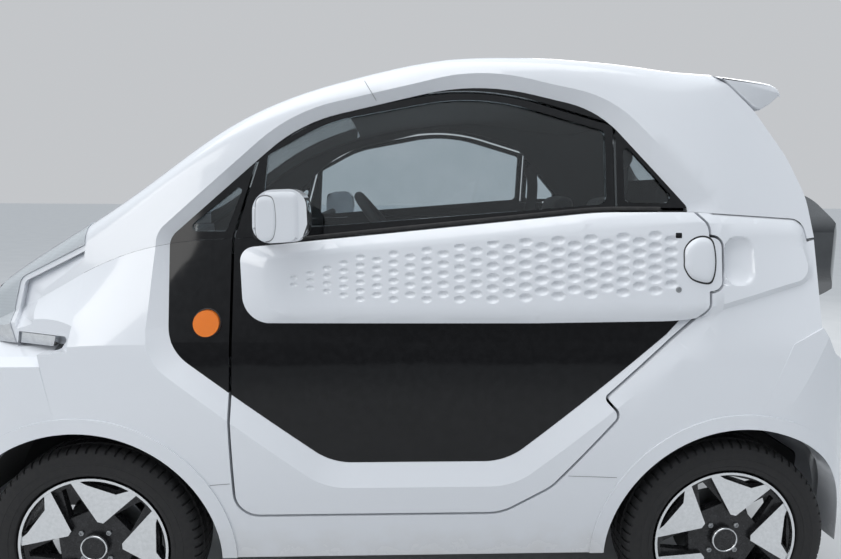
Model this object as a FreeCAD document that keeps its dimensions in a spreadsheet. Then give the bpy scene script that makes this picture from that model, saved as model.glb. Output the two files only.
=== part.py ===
"""Two-seat electric microcar, as an assembly of its real pieces.

Millimetres. X runs rearward, Y to the car's right, Z up. The origin lies on the ground,
midway between the axles on the centreline.
"""
import FreeCAD, Part
import math
import os

from FreeCAD import Base
from FreeCAD import Vector as V

doc = FreeCAD.newDocument("microcar")

# Driving dimensions
SIZES = {
    "wheelbase": 1680, "body_length": 2530, "floor_height": 250,
    "sill_half_width": 694, "bulge_half_width": 745, "bulge_height": 560,
    "shoulder_half_width": 727, "tumblehome": 0.225,
    "skin": 50, "glass": 5, "roof_skin": 50, "door_depth": 62, "panel_inset": 28,
    "band_proud": 12, "door_gap": 7, "tailgate_gap": 10, "tailgate_taper": 24, "seat_gap": 0.3,
    "wheel_height": 277, "tyre_radius": 277, "tyre_width": 150, "tyre_face": 697,
    "rim_radius": 197, "hub_radius": 34, "arch_radius": 336, "arch_lip": 38, "lip_proud": 4,
    "belt_seam": 0.6, "nose_front": 1205, "plan_corner": 330, "nose_seam": 0.8,
    "kingpin_half": 515, "disc_radius": 118, "axle_radius": 38,
    "motor_radius": 110, "motor_length": 300,
    "battery_length": 315, "battery_width": 840, "battery_height": 138,
    "tow_half": 400, "tow_height": 300, "tow_length": 60,
    "steer_wheel_radius": 180, "steer_rim_radius": 14, "steer_rake": 39,
    "steer_wheel_x": -62, "steer_wheel_z": 1063, "driver_y": 300,
    "tow_hole_radius": 8,
}

sheet = doc.addObject("Spreadsheet::Sheet", "Sizes")
for row, (name, value) in enumerate(SIZES.items(), 1):
    sheet.set("A%d" % row, name)
    sheet.set("B%d" % row, str(value))
    sheet.setAlias("B%d" % row, name)
doc.recompute()


def size(name):
    """A driving dimension, read from the sheet."""
    return float(sheet.get(name))


# Body sections, nose to tail
# columns: x, roof height, belt half width, belt height, shoulder height, crown drop, rail radius
STATIONS = [
    (-1205, 902, 548, 820, 690, 22, 45),
    (-1090, 990, 575, 872, 752, 20, 50),
    (-960, 1070, 600, 935, 806, 18, 55),
    (-840, 1139, 622, 1000, 826, 16, 60),
    (-680, 1244, 648, 1060, 830, 15, 65),
    (-480, 1384, 670, 1085, 830, 14, 68),
    (-230, 1490, 686, 1095, 830, 14, 70),
    (80, 1551, 692, 1100, 830, 14, 70),
    (420, 1553, 690, 1100, 830, 14, 70),
    (740, 1534, 680, 1100, 830, 14, 70),
    (1060, 1496, 650, 1100, 830, 14, 70),
]


def rail_points(station, offset):
    """Belt, rail arc and crown of one section, moved inward by offset."""
    x, roof, belt, belt_z, shoulder_z, drop, rail = station
    seam = size("belt_seam")
    lean = size("tumblehome")
    slant = math.hypot(1, lean)
    half = belt - offset * slant
    top = roof - offset
    radius = max(rail - offset, 10)
    rail_half = half - lean * (top - drop - belt_z)
    crown = (rail_half ** 2 + drop ** 2) / (2 * drop)
    centre = top - crown
    reach = half - radius * slant + lean * belt_z
    a = 1 + lean ** 2
    b = -2 * (reach * lean + centre)
    c = reach ** 2 + centre ** 2 - (crown - radius) ** 2
    z = (-b + math.sqrt(b * b - 4 * a * c)) / (2 * a)
    y = reach - lean * z
    start = (y + radius / slant, z + radius * lean / slant)
    far = math.hypot(y, z - centre)
    end = (y / far * crown, centre + (z - centre) / far * crown)
    mid_y = (start[0] + end[0]) / 2 - y
    mid_z = (start[1] + end[1]) / 2 - z
    span = math.hypot(mid_y, mid_z)
    middle = (y + mid_y / span * radius, z + mid_z / span * radius)
    return (half - lean * seam, belt_z + seam), start, middle, end, (0, top)


def line3(x, p, q):
    return Part.LineSegment(V(x, *p), V(x, *q)).toShape()


def arc3(x, p, q, r):
    return Part.Arc(V(x, *p), V(x, *q), V(x, *r)).toShape()


def mirror(p):
    return (-p[0], p[1])


def side_chain(station, offset, sign):
    """Edges of the lower side, from the sill up to the belt."""
    x, roof, belt, belt_z, shoulder_z, drop, rail = station
    low = (sign * (size("sill_half_width") - offset), size("floor_height"))
    bulge = (sign * (size("bulge_half_width") - offset), size("bulge_height"))
    shoulder = (sign * (size("shoulder_half_width") - offset), shoulder_z)
    top = (sign * (belt - offset * math.hypot(1, size("tumblehome"))), belt_z)
    return [low, bulge, shoulder, top]


def side_section(station, outer, inner, sign):
    """Closed section of one side wall between two offsets."""
    x = station[0]
    a = side_chain(station, outer, sign)
    b = side_chain(station, inner, sign)
    edges = [arc3(x, a[0], a[1], a[2]), line3(x, a[2], a[3]), line3(x, a[3], b[3]),
             line3(x, b[3], b[2]), arc3(x, b[2], b[1], b[0]), line3(x, b[0], a[0])]
    return Part.Wire(edges)


def top_section(station, outer, inner):
    """Closed section of the glasshouse between two offsets: side, rail, crown, rail, side."""
    x = station[0]
    edges = []
    a = rail_points(station, outer)
    b = rail_points(station, inner)
    edges.append(line3(x, a[0], a[1]))
    edges.append(arc3(x, a[1], a[2], a[3]))
    edges.append(arc3(x, a[3], a[4], mirror(a[3])))
    edges.append(arc3(x, mirror(a[3]), mirror(a[2]), mirror(a[1])))
    edges.append(line3(x, mirror(a[1]), mirror(a[0])))
    edges.append(line3(x, mirror(a[0]), mirror(b[0])))
    edges.append(line3(x, mirror(b[0]), mirror(b[1])))
    edges.append(arc3(x, mirror(b[1]), mirror(b[2]), mirror(b[3])))
    edges.append(arc3(x, mirror(b[3]), b[4], b[3]))
    edges.append(arc3(x, b[3], b[2], b[1]))
    edges.append(line3(x, b[1], b[0]))
    edges.append(line3(x, b[0], a[0]))
    return Part.Wire(edges)


def side_wall(outer, inner, sign, first=0, last=None):
    rows = STATIONS[first:last]
    return Part.makeLoft([side_section(r, outer, inner, sign) for r in rows], True, False)


def glasshouse(outer, inner, first=0, last=None):
    rows = STATIONS[first:last]
    return Part.makeLoft([top_section(r, outer, inner) for r in rows], True, False)


def outline_edges(rows, place):
    """Edges through (u, v, corner radius) rows; place turns (u, v) into a point."""
    count = len(rows)
    edges = []
    joints = []
    for i, (u, v, radius) in enumerate(rows):
        pu, pv, _ = rows[i - 1]
        nu, nv, _ = rows[(i + 1) % count]
        du, dv = pu - u, pv - v
        eu, ev = nu - u, nv - v
        dl, el = math.hypot(du, dv), math.hypot(eu, ev)
        du, dv, eu, ev = du / dl, dv / dl, eu / el, ev / el
        if radius <= 0:
            joints.append(((u, v), None, (u, v)))
            continue
        half = math.acos(max(-1, min(1, du * eu + dv * ev))) / 2
        run = radius / math.tan(half)
        bu, bv = du + eu, dv + ev
        bl = math.hypot(bu, bv)
        deep = radius / math.sin(half) - radius
        joints.append(((u + du * run, v + dv * run), (u + bu / bl * deep, v + bv / bl * deep),
                       (u + eu * run, v + ev * run)))
    for i, (start, middle, end) in enumerate(joints):
        if middle is not None:
            edges.append(Part.Arc(place(*start), place(*middle), place(*end)).toShape())
        following = joints[(i + 1) % count][0]
        if math.hypot(following[0] - end[0], following[1] - end[1]) > 1e-4:
            edges.append(Part.LineSegment(place(*end), place(*following)).toShape())
    return edges


def outline(rows, place):
    """Closed wire through (u, v, corner radius) rows."""
    return Part.Wire(outline_edges(rows, place))


def side_prism(rows, y_from, y_to):
    """Side-view outline, run across the car between two Y planes."""
    wire = outline(rows, lambda u, v: V(u, y_from, v))
    return Part.Face(wire).extrude(V(0, y_to - y_from, 0))


def plan_prism(rows, z_from, z_to):
    wire = outline(rows, lambda u, v: V(u, v, z_from))
    return Part.Face(wire).extrude(V(0, 0, z_to - z_from))


def box(x0, x1, y0, y1, z0, z1):
    return Part.makeBox(x1 - x0, y1 - y0, z1 - z0, V(x0, y0, z0))


def rod(start, end, radius):
    way = end - start
    return Part.makeCylinder(radius, way.Length, start, way)


FAR = 900

# Side-view outlines, front to the left: x, z, corner radius
EGG = [(-215, 519, 160), (-618, 812, 120), (-630, 1085, 45), (-300, 1378, 420), (160, 1490, 620),
       (470, 1420, 260), (700, 1172, 25), (690, 900, 10), (640, 848, 30), (232, 519, 160)]
# The outer lip of the bevel round the egg, row for row
EGG_LIP = [(-232, 459, 170), (-672, 795, 130), (-656, 1102, 60), (-318, 1404, 440), (160, 1519, 650),
           (500, 1452, 300), (760, 1190, 40), (748, 880, 30), (690, 815, 60), (250, 459, 170)]
DOOR = [(-455, 386, 60), (-463, 700, 500), (-461, 1085, 60), (-396, 1304, 8), (-222, 1402, 420),
        (160, 1478, 700), (508, 1379, 8), (508, 1163, 6), (702, 1163, 6), (736, 1124, 40),
        (736, 1098, 4), (770, 1094, 25), (770, 968, 25), (736, 964, 4), (736, 920, 40), (690, 878, 6),
        (475, 690, 14), (512, 650, 20), (345, 460, 120), (220, 386, 120)]
# Nose, from the side: the lamp ring's rear edge and the outer lip of the bevel behind it, row for row
RING_EDGE = [(-1500, 700, 20), (-1500, 1400, 20), (-780, 1400, 20), (-826, 1078, 12), (-926, 1030, 60),
             (-1040, 976, 30), (-1056, 890, 60), (-1030, 806, 20), (-1016, 700, 20)]
RING_LIP = [(-1500, 690, 20), (-1500, 1410, 20), (-740, 1400, 20), (-806, 1066, 12), (-906, 990, 60),
            (-970, 944, 30), (-988, 880, 40), (-880, 846, 20), (-880, 700, 20)]
# Nose, from the front (y, z, corner radius): the inner edge of the lamp ring
NOSE_RING = [(-372, 1050, 40), (-552, 962, 50), (-552, 892, 40), (-468, 856, 40), (468, 856, 40),
             (552, 892, 40), (552, 962, 50), (372, 1050, 40)]
FOG_NOTCH = [(-1030, 804, 3), (-1022, 844, 3), (-862, 843, 8), (-892, 807, 8)]
FOG_INSERT = [(-1024, 806, 2), (-1018, 841, 2), (-908, 840, 3), (-920, 806, 3)]
# The band along the door and quarter, and the crest within its sloping edges, row for row
BAND = [(-428, 882, 70), (-442, 1064, 34), (-215, 1088, 900), (460, 1158, 900), (700, 1160, 900),
        (1006, 1142, 40), (1042, 985, 55), (700, 888, 600), (300, 882, 900)]
BAND_CREST = [(-362, 910, 45), (-376, 1038, 24), (-215, 1064, 900), (460, 1134, 900), (700, 1136, 900),
              (986, 1119, 30), (1014, 996, 40), (700, 914, 600), (300, 908, 900)]
DOOR_GLASS = [(-396, 1105, 14), (-380, 1298, 10), (-222, 1384, 380), (160, 1458, 600),
              (487, 1366, 14), (487, 1178, 20)]
FRONT_LIGHT = [(-594, 1102, 12), (-482, 1104, 10), (-436, 1230, 8)]
REAR_LIGHT = [(534, 1182, 12), (534, 1338, 10), (676, 1182, 16)]


def grown(rows, reach):
    """The same outline moved outward by reach, about its middle."""
    mx = sum(r[0] for r in rows) / len(rows)
    mz = sum(r[1] for r in rows) / len(rows)
    count = len(rows)
    area = sum(rows[i][0] * rows[(i + 1) % count][1] - rows[(i + 1) % count][0] * rows[i][1]
               for i in range(count))
    turn = 1 if area > 0 else -1
    result = []
    for i, (u, v, radius) in enumerate(rows):
        pu, pv, _ = rows[i - 1]
        nu, nv, _ = rows[(i + 1) % count]
        au, av = u - pu, v - pv
        bu, bv = nu - u, nv - v
        al, bl = math.hypot(au, av), math.hypot(bu, bv)
        n1 = (av / al * turn, -au / al * turn)
        n2 = (bv / bl * turn, -bu / bl * turn)
        cosine = n1[0] * n2[0] + n1[1] * n2[1]
        share = reach / (1 + cosine)
        convex = (au * bv - av * bu) * turn > 0
        result.append((u + (n1[0] + n2[0]) * share, v + (n1[1] + n2[1]) * share,
                       max(radius + (reach if convex else -reach), 1) if radius else 0))
    return result


parts = []


def keep(label, shape):
    """Store a shape as one sub-part of the document."""
    item = doc.addObject("Part::Feature", label)
    item.Label = label
    item.Shape = shape
    item.Placement = Base.Placement(V(0, 0, 0), Base.Rotation())
    parts.append(item)
    return item


def keep_item(label, item):
    """Keep a document object, bound to the sheet, as one sub-part."""
    item.Label = label
    parts.append(item)
    return item


def bound(kind, name, base, turn=None, **sizes):
    """A primitive whose sizes and place are expressions on the sheet."""
    item = doc.addObject(kind, name)
    for key, text in sizes.items():
        item.setExpression(key, text)
    if turn is not None:
        item.Placement = Base.Placement(V(0, 0, 0), Base.Rotation(V(*turn[0]), turn[1]))
    for key, text in zip("xyz", base):
        item.setExpression("Placement.Base.%s" % key, text)
    return item


def joined(name, items):
    """Fusion of document objects."""
    item = doc.addObject("Part::MultiFuse", name)
    item.Shapes = items
    return item


def to_right(shape):
    return shape.mirror(V(0, 0, 0), V(0, 1, 0))


def both(shape):
    """A left piece and its mirror image on the right."""
    return Part.makeCompound([shape, to_right(shape)])


axle = size("wheelbase") / 2
inset = size("panel_inset")
skin = size("skin")
gap = size("door_gap")
seat_gap = size("seat_gap")
floor_z = size("floor_height")
wheel_z = size("wheel_height")
half_length = size("body_length") / 2


def slab_x(x0, x1):
    return box(x0, x1, -FAR, FAR, 0, 1700)


def arch_cut(x, radius):
    """Round opening for a wheel, through both sides."""
    return rod(V(x, -FAR, wheel_z), V(x, FAR, wheel_z), radius)


arches = Part.makeCompound([arch_cut(x, size("arch_radius")) for x in (-axle, axle)])
arch_rims = Part.makeCompound([arch_cut(x, size("arch_radius") + size("arch_lip")) for x in (-axle, axle)])
egg = side_prism(EGG, -FAR, -300)
door = side_prism(DOOR, -FAR, -300)
door_hole = side_prism(grown(DOOR, gap), -FAR, -300)

# Body side and glasshouse, left hand; the right is the mirror image
wall = side_wall(0, skin, -1)
shell = glasshouse(0, size("roof_skin"))
outer_skin = Part.makeCompound(wall.Faces[:2] + shell.Faces[1:5])


def skin_y(x, z):
    """Outer surface of the left side at a point of the side view."""
    ray = Part.makeLine(V(x, -FAR, z), V(x, -FAR / 3, z))
    return min(on_ray.y for on_ray, _ in ray.distToShape(outer_skin)[1])


def nose_y(x, z):
    """Left side of the nose at a point of the side view, straight between the stations."""
    rows = [row for row in STATIONS if row[0] >= x]
    after = rows[0] if rows else STATIONS[-1]
    index = max(STATIONS.index(after), 1)
    before, after = STATIONS[index - 1], STATIONS[index]
    share = min(max((x - before[0]) / (after[0] - before[0]), 0), 1)
    _, _, belt, belt_z, shoulder_z, _, _ = [a + (b - a) * share for a, b in zip(before, after)]
    if z > belt_z:
        return -belt + size("tumblehome") * (z - belt_z)
    if z > shoulder_z:
        return -belt + (size("shoulder_half_width") - belt) * (z - belt_z) / (belt_z - shoulder_z)
    return -size("shoulder_half_width")


def bevel(lip_rows, low_rows, depth, reader, proud=0):
    """Cutter with a sloping edge: its lip stands proud of the surface, its low edge depth below it."""
    def ring(rows, height):
        edges = []
        for edge in outline_edges(rows, lambda u, v: V(u, 0, v)):
            points = [V(p.x, height(p.x, p.z), p.z) for p in edge.discretize(Number=5)]
            curve = Part.BSplineCurve()
            curve.interpolate(Points=points, Parameters=[float(i) for i in range(len(points))])
            edges.append(curve.toShape())
        return Part.Wire(edges)

    rings = [ring(lip_rows, lambda x, z: -FAR), ring(lip_rows, lambda x, z: reader(x, z) - proud - 1),
             ring(low_rows, lambda x, z: reader(x, z) + depth), ring(low_rows, lambda x, z: -300)]
    return Part.makeLoft(rings, True, True)


scoop = bevel(EGG_LIP, EGG, inset, skin_y)
beveled = wall.cut(scoop)
lips = side_wall(-size("lip_proud"), 20, -1).common(arch_rims).common(slab_x(-1075, 1036))
fixed_wall = beveled.fuse(lips).cut(door_hole).cut(arches)

# Seams between the fixed panels: x, z from the arch up to the belt
FRONT_SEAM = [(-1400, 200, 0), (-885, 200, 0), (-885, 640, 0), (-927, 813, 0), (-1400, 813, 0)]
REAR_SEAM = [(1400, 200, 0), (870, 200, 0), (870, 640, 0), (959, 829, 0), (1036, 870, 0), (1400, 870, 0)]
SILL_TOP = 449
COWL = -853
NOSE_LOW = 813

front_seam = side_prism(FRONT_SEAM, -FAR, FAR)
rear_seam = side_prism(REAR_SEAM, -FAR, FAR)
sill_zone = box(-600, 620, -FAR, FAR, 200, SILL_TOP)
nose_zone = box(-1400, COWL, -FAR, FAR, NOSE_LOW, 1700)


def full_section(station, offset):
    """Closed solid section: lower sides, belt, rails and crown."""
    x = station[0]
    right = side_chain(station, offset, 1)
    left = side_chain(station, offset, -1)
    top = rail_points(station, offset)
    edges = [arc3(x, right[0], right[1], right[2]), line3(x, right[2], right[3]), line3(x, right[3], top[1]),
             arc3(x, top[1], top[2], top[3]), arc3(x, top[3], top[4], mirror(top[3])),
             arc3(x, mirror(top[3]), mirror(top[2]), mirror(top[1])), line3(x, mirror(top[1]), left[3]),
             line3(x, left[3], left[2]), arc3(x, left[2], left[1], left[0]), line3(x, left[0], right[0])]
    return Part.Wire(edges)


def body_solid(offset, rows):
    return Part.makeLoft([full_section(r, offset) for r in rows], True, False)


def nose_solid(offset, low):
    """Solid nose ahead of the windscreen: body sections within the plan of its blunt front."""
    front = -size("nose_front")
    plan = [(front, -290, 120), (-1092, -600, 60), (-700, -760, 0),
            (-700, 760, 0), (-1092, 600, 60), (front, 290, 120)]
    return body_solid(offset, STATIONS[:5]).common(plan_prism(grown(plan, -offset), low, 1300))


def nose_layer(outer, inner):
    """Skin of the nose between two offsets, ahead of the windscreen."""
    return nose_solid(outer, NOSE_LOW).cut(nose_solid(inner, 700)).common(slab_x(-1300, COWL))


def front_prism(rows, x_from, x_to):
    """Front-view outline (y, z), run along the car."""
    wire = outline(rows, lambda u, v: V(x_from, u, v))
    return Part.Face(wire).extrude(V(x_to - x_from, 0, 0))


# Nose: cheeks behind the lamp ring, the ring, the hood and the dark mask within it
RING_BORDER = 13
FOG_DEPTH = 32
nose_seam = size("nose_seam")
nose_skin = nose_layer(0, 45)
ring_gap = grown(RING_EDGE, -seat_gap)
ring_inner = front_prism(NOSE_RING, -1300, -700)
ring_back = front_prism(grown(NOSE_RING, nose_seam), -1300, -700)
groove = bevel(RING_LIP, grown(RING_EDGE, RING_BORDER), 20, nose_y)
groove = groove.cut(side_prism(grown(RING_EDGE, RING_BORDER + 1), -FAR - 10, -200))
ring_zone = side_prism(RING_EDGE, -FAR, FAR)
fog_notch = side_prism(FOG_NOTCH, -FAR, -500).cut(nose_solid(FOG_DEPTH, 700))
cheek = nose_skin.cut(groove).cut(ring_zone).cut(fog_notch).cut(ring_back)
cheek = cheek.common(box(-1300, COWL, -FAR, -300, 0, 1700))
fender = fixed_wall.common(slab_x(-1075, -350)).cut(front_seam).cut(sill_zone).cut(nose_zone).cut(fog_notch)
fender = fender.fuse(cheek)
keep("fenders", both(fender))
lamp_ring = nose_layer(-3, 30).common(side_prism(ring_gap, -FAR, FAR)).cut(ring_inner)
MASK_TOP = 962
LAMPS = [(470, 906, 40), (372, 906, 40)]
lamp_holes = []
lenses = []
lens_layer = nose_layer(-3, 22)
for y, z, radius in LAMPS:
    for side in (-1, 1):
        lamp_holes.append(rod(V(-1300, side * y, z), V(-900, side * y, z), radius + seat_gap))
        lenses.append(rod(V(-1300, side * y, z), V(-900, side * y, z), radius).common(lens_layer))
inside = nose_skin.common(front_prism(grown(NOSE_RING, -nose_seam), -1300, -700))
mask = inside.common(box(-1300, -700, -FAR, FAR, NOSE_LOW, MASK_TOP - nose_seam))
keep("hood", inside.common(box(-1300, -700, -FAR, FAR, MASK_TOP, 1300)))
keep("front_mask", mask.cut(Part.makeCompound(lamp_holes)))
fog_insert = nose_layer(5, FOG_DEPTH - 0.5).common(side_prism(FOG_INSERT, -FAR, -500)).cut(lamp_ring)
indicator = side_wall(14, inset, -1).common(rod(V(-524, -FAR, 878), V(-524, -300, 878), 32))
lamp_list = [lamp_ring] + lenses + [both(fog_insert), both(indicator)]
keep("front_lamps", Part.makeCompound(lamp_list))

# Sills and quarter panels; the rear third of the belt band is part of the quarter
jack_face = box(-700, 700, -FAR, FAR, 200, floor_z + 1)
sill = fixed_wall.common(sill_zone).cut(jack_face)
keep("sills", both(sill))
band_proud = size("band_proud")
band_low = body_solid(inset - 1, STATIONS)
band_slab = box(-600, 1100, -FAR, -300, 800, 1250)
band_edge = bevel(BAND_CREST, BAND, 4, skin_y, band_proud)
band_wall = body_solid(-band_proud, STATIONS).common(band_slab).cut(band_low).common(band_edge)
HANDLE_SCOOP = [(772, 975, 10), (772, 1088, 10), (852, 1080, 45), (852, 983, 45)]
handle_dent = plan_prism([(760, -FAR, 0), (868, -FAR, 0), (860, -745, 0), (772, -700, 0), (760, -700, 0)], 950, 1110)
handle_dent = handle_dent.common(side_prism(HANDLE_SCOOP, -FAR, -300))
band_fixed = band_wall.cut(door_hole).common(slab_x(500, 1060)).cut(handle_dent)
quarter = fixed_wall.common(slab_x(300, 1036)).cut(rear_seam).cut(sill_zone)
quarter = quarter.cut(side_prism(HANDLE_SCOOP, -FAR, -694)).fuse(band_fixed)
keep("quarters", both(quarter))

# Doors: dark inner panel with its window frame, white skirt and band, glass, mirror
door_face = side_wall(inset, inset + 10, -1)
door_core = side_wall(inset + 6, inset + size("door_depth"), -1)
frame_wall = glasshouse(inset, inset + 16)
panel_egg = side_prism(grown(EGG, -1), -FAR, -300)
core = door_core.common(side_prism(grown(DOOR, -14), -FAR, -300)).common(panel_egg)
panel = door_face.common(door).common(panel_egg).fuse(core)
frame = frame_wall.common(door).common(panel_egg).cut(side_prism(DOOR_GLASS, -FAR, -300))
panel = panel.fuse(frame)
skirt = beveled.common(door).cut(egg).cut(side_prism(grown(BAND, seat_gap), -FAR, -300))
band_door = band_wall.common(door)
pane = glasshouse(inset + 6, inset + 6 + size("glass"))
door_pane = pane.common(side_prism(DOOR_GLASS, -FAR, -300))
mirror_foot = rod(V(-402, -640, 1095), V(-345, -735, 1118), 14)
MIRROR = [(-381, 1084, 40), (-254, 1092, 40), (-258, 1212, 40), (-378, 1206, 50)]
mirror_shell = side_prism(MIRROR, -810, -722)
mirror_piece = mirror_shell.fuse(mirror_foot).cut(panel)
for side, place in (("left", Part.Shape.copy), ("right", to_right)):
    keep("door_%s_panel" % side, place(panel))
    keep("door_%s_skirt" % side, place(skirt))
    keep("door_%s_band" % side, place(band_door))
    keep("door_%s_glass" % side, place(door_pane))
    keep("mirror_%s" % side, place(mirror_piece))

# Fixed glass and dark panels in the side openings
side_lights = Part.makeCompound([side_prism(FRONT_LIGHT, -FAR, -300), side_prism(REAR_LIGHT, -FAR, -300)])
fixed_dark = side_wall(inset, inset + 40, -1).common(egg).cut(door_hole)
fixed_top = frame_wall.common(egg).cut(door_hole).cut(side_lights)
side_insert = fixed_dark.fuse(fixed_top).common(slab_x(-700, 760))
keep("side_inserts", both(side_insert))
SCREEN = [(-850, -535, 60), (-205, -512, 70), (-205, 512, 70), (-850, 535, 60)]
screen_hole = plan_prism(SCREEN, 900, 1700)
glass_shell = glasshouse(8, 8 + size("glass"))
screen = glass_shell.common(screen_hole).common(slab_x(-849, -205))
keep("fixed_glass", Part.makeCompound([screen, both(pane.common(side_lights))]))

# Glasshouse shell: pillars and roof
TAIL_LINE = [(880, 1600, 0), (783, 1600, 0), (783, 1519, 0), (888, 1424, 200), (972, 1306, 300),
             (1020, 1200, 200), (1037, 1090, 0), (1037, 700, 0), (1400, 700, 0), (1400, 1600, 0)]
tail_cut = side_prism(TAIL_LINE, -FAR, FAR)
band_zone = side_prism(grown(BAND, size("belt_seam")), -FAR, -300).cut(band_low)
roof = shell.cut(Part.makeCompound([scoop, to_right(scoop)])).cut(screen_hole).cut(tail_cut)
roof = roof.cut(Part.makeCompound([band_zone, to_right(band_zone)]))
roof = roof.common(slab_x(COWL, 1100))
keep("roof_shell", roof)


def end_plan(front, half, corner, sign):
    """Plan outline of a bumper: face, two corners and straight sides."""
    x = sign * front
    return [(x, -half, corner), (x, half, corner), (sign * 700, half, 0), (sign * 700, -half, 0)]


def full_prism(offset, low):
    """Lower body section run along the car."""
    station = (-1300, 0, 700, 1000, 830, 0, 0)
    right = side_chain(station, offset, 1)
    left = side_chain(station, offset, -1)
    right[0] = (right[0][0], low)
    left[0] = (left[0][0], low)
    x = station[0]
    edges = [arc3(x, right[0], right[1], right[2]), line3(x, right[2], right[3]), line3(x, right[3], left[3]),
             line3(x, left[3], left[2]), arc3(x, left[2], left[1], left[0]), line3(x, left[0], right[0])]
    return Part.Face(Part.Wire(edges)).extrude(V(2600, 0, 0))


def bumper_block(sign, profile, offset, low):
    """Solid block of a bumper, moved inward by offset, within its side-view profile."""
    half = size("bulge_half_width") - offset
    plan = plan_prism(end_plan(half_length - offset, half, size("plan_corner") - offset, sign), 200, 1000)
    return full_prism(offset, low).common(plan).common(side_prism(profile, -FAR, FAR))


def bumper(sign, profile, inner_profile, seam):
    lip = size("lip_proud")
    shape = bumper_block(sign, profile, 0, floor_z).cut(bumper_block(sign, inner_profile, skin, floor_z - 10))
    rim = bumper_block(sign, grown(profile, 1), -lip, floor_z).cut(bumper_block(sign, grown(profile, 40), 20, 200))
    rim = rim.common(arch_rims).common(box(-FAR * 2, FAR * 2, -FAR, FAR, floor_z, 720))
    return shape.fuse(rim).common(seam).cut(arches)


FRONT_FACE = [(-700, 250, 0), (-1225, 250, 30), (-1265, 420, 200), (-1260, 640, 90), (-1205, 806, 40),
              (-925, 813, 0), (-700, 830, 0)]
FRONT_HOLLOW = [(-600, 200, 0), (-1175, 200, 30), (-1215, 420, 150), (-1208, 620, 60), (-1165, 745, 40),
                (-925, 760, 0), (-600, 775, 0)]
REAR_FACE = [(700, 250, 0), (1225, 250, 30), (1265, 420, 200), (1258, 620, 90), (1190, 735, 110),
             (1080, 800, 60), (1036, 870, 0), (700, 870, 0)]
REAR_HOLLOW = [(600, 200, 0), (1175, 200, 30), (1215, 420, 150), (1208, 600, 60), (1140, 690, 60),
               (1040, 745, 40), (990, 880, 0), (600, 880, 0)]
# Front view of the bumper's top, falling to the wheel arches: y, z
BUMPER_TOP = [(-760, 200, 0), (-760, 770, 0), (-690, 792, 40), (-590, 813, 60), (590, 813, 60), (690, 792, 40),
              (760, 770, 0), (760, 200, 0)]
GRILLE = [(-420, 300, 20), (-360, 420, 20), (360, 420, 20), (420, 300, 20)]
VALANCE = [(-430, 255, 10), (-400, 400, 20), (400, 400, 20), (430, 255, 10)]
TOW_END = -1236
front_bumper = bumper(-1, FRONT_FACE, FRONT_HOLLOW, front_seam).common(front_prism(BUMPER_TOP, -1400, -800))
tow_hole = rod(V(-1300, size("tow_half"), size("tow_height")), V(-1190, size("tow_half"), size("tow_height")), 18)
front_bumper = front_bumper.cut(front_prism(GRILLE, -1300, -1150)).cut(tow_hole).cut(fog_notch)
keep("front_bumper", front_bumper.cut(to_right(fog_notch)))
rear_bumper = bumper(1, REAR_FACE, REAR_HOLLOW, rear_seam)
plate_recess = box(1238, 1300, -265, 265, 455, 585)
keep("rear_bumper", rear_bumper.cut(plate_recess).cut(front_prism(VALANCE, 1150, 1300)))


def slatted(rows, x_from, x_to, z_from, z_to, slats):
    """Dark insert of a bumper opening: a back plate with level slats."""
    edge = front_prism(grown(rows, -seat_gap), x_from, x_to)
    pitch = (z_to - z_from) / slats
    slots = [box(-FAR * 2, FAR * 2, -FAR, FAR, z_from + (i + 0.35) * pitch, z_from + (i + 0.85) * pitch)
             for i in range(slats)]
    face = x_from if abs(x_from) > abs(x_to) else x_to
    front = edge.common(slab_x(min(face, face * 0.98), max(face, face * 0.98)))
    slots = Part.makeCompound(slots).common(front_prism(grown(rows, -14), x_from, x_to))
    return edge.cut(slots.common(front))


front_grille = slatted(GRILLE, -1242, -1205, 304, 416, 4).cut(tow_hole)
rear_grille = slatted(VALANCE, 1205, 1240, 262, 394, 4)
keep("bumper_grilles", Part.makeCompound([front_grille, rear_grille]))

# Tailgate, hinged at the roof: dark frame, octagonal ring with its lamp, glass, and spoiler
TAIL_FACE = [(890, 1424, 0), (972, 1306, 300), (1020, 1200, 200), (1036, 1110, 0), (1036, 880, 0),
             (985, 880, 0), (985, 1090, 60), (972, 1184, 160), (930, 1280, 300), (850, 1396, 0)]
RING_SIDE = [(1012, 1250, 0), (1105, 1192, 60), (1172, 1060, 90), (1172, 940, 60), (1096, 878, 20),
             (1030, 878, 0), (1030, 1110, 0), (1005, 1215, 0)]
RING_REAR = [(-470, 1256, 40), (-592, 1130, 60), (-592, 985, 60), (-470, 872, 40), (470, 872, 40),
             (592, 985, 60), (592, 1130, 60), (470, 1256, 40)]
SPOILER = [(793, 1600, 0), (793, 1510, 0), (897, 1418, 0), (952, 1452, 8), (968, 1476, 8), (940, 1503, 30),
           (880, 1600, 0)]
WINDOW_REAR = [(-430, 1400, 50), (-500, 1262, 50), (500, 1262, 50), (430, 1400, 50)]
PANE_LINE = [(884, 1412, 0), (966, 1300, 0), (1014, 1198, 0), (1008, 1196, 0), (960, 1297, 0), (879, 1409, 0)]
FLANGE = 14
RING_WALL = 70
LENS_EDGE, LENS_WIDTH, LENS_DEPTH = 22, 20, 10

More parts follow.
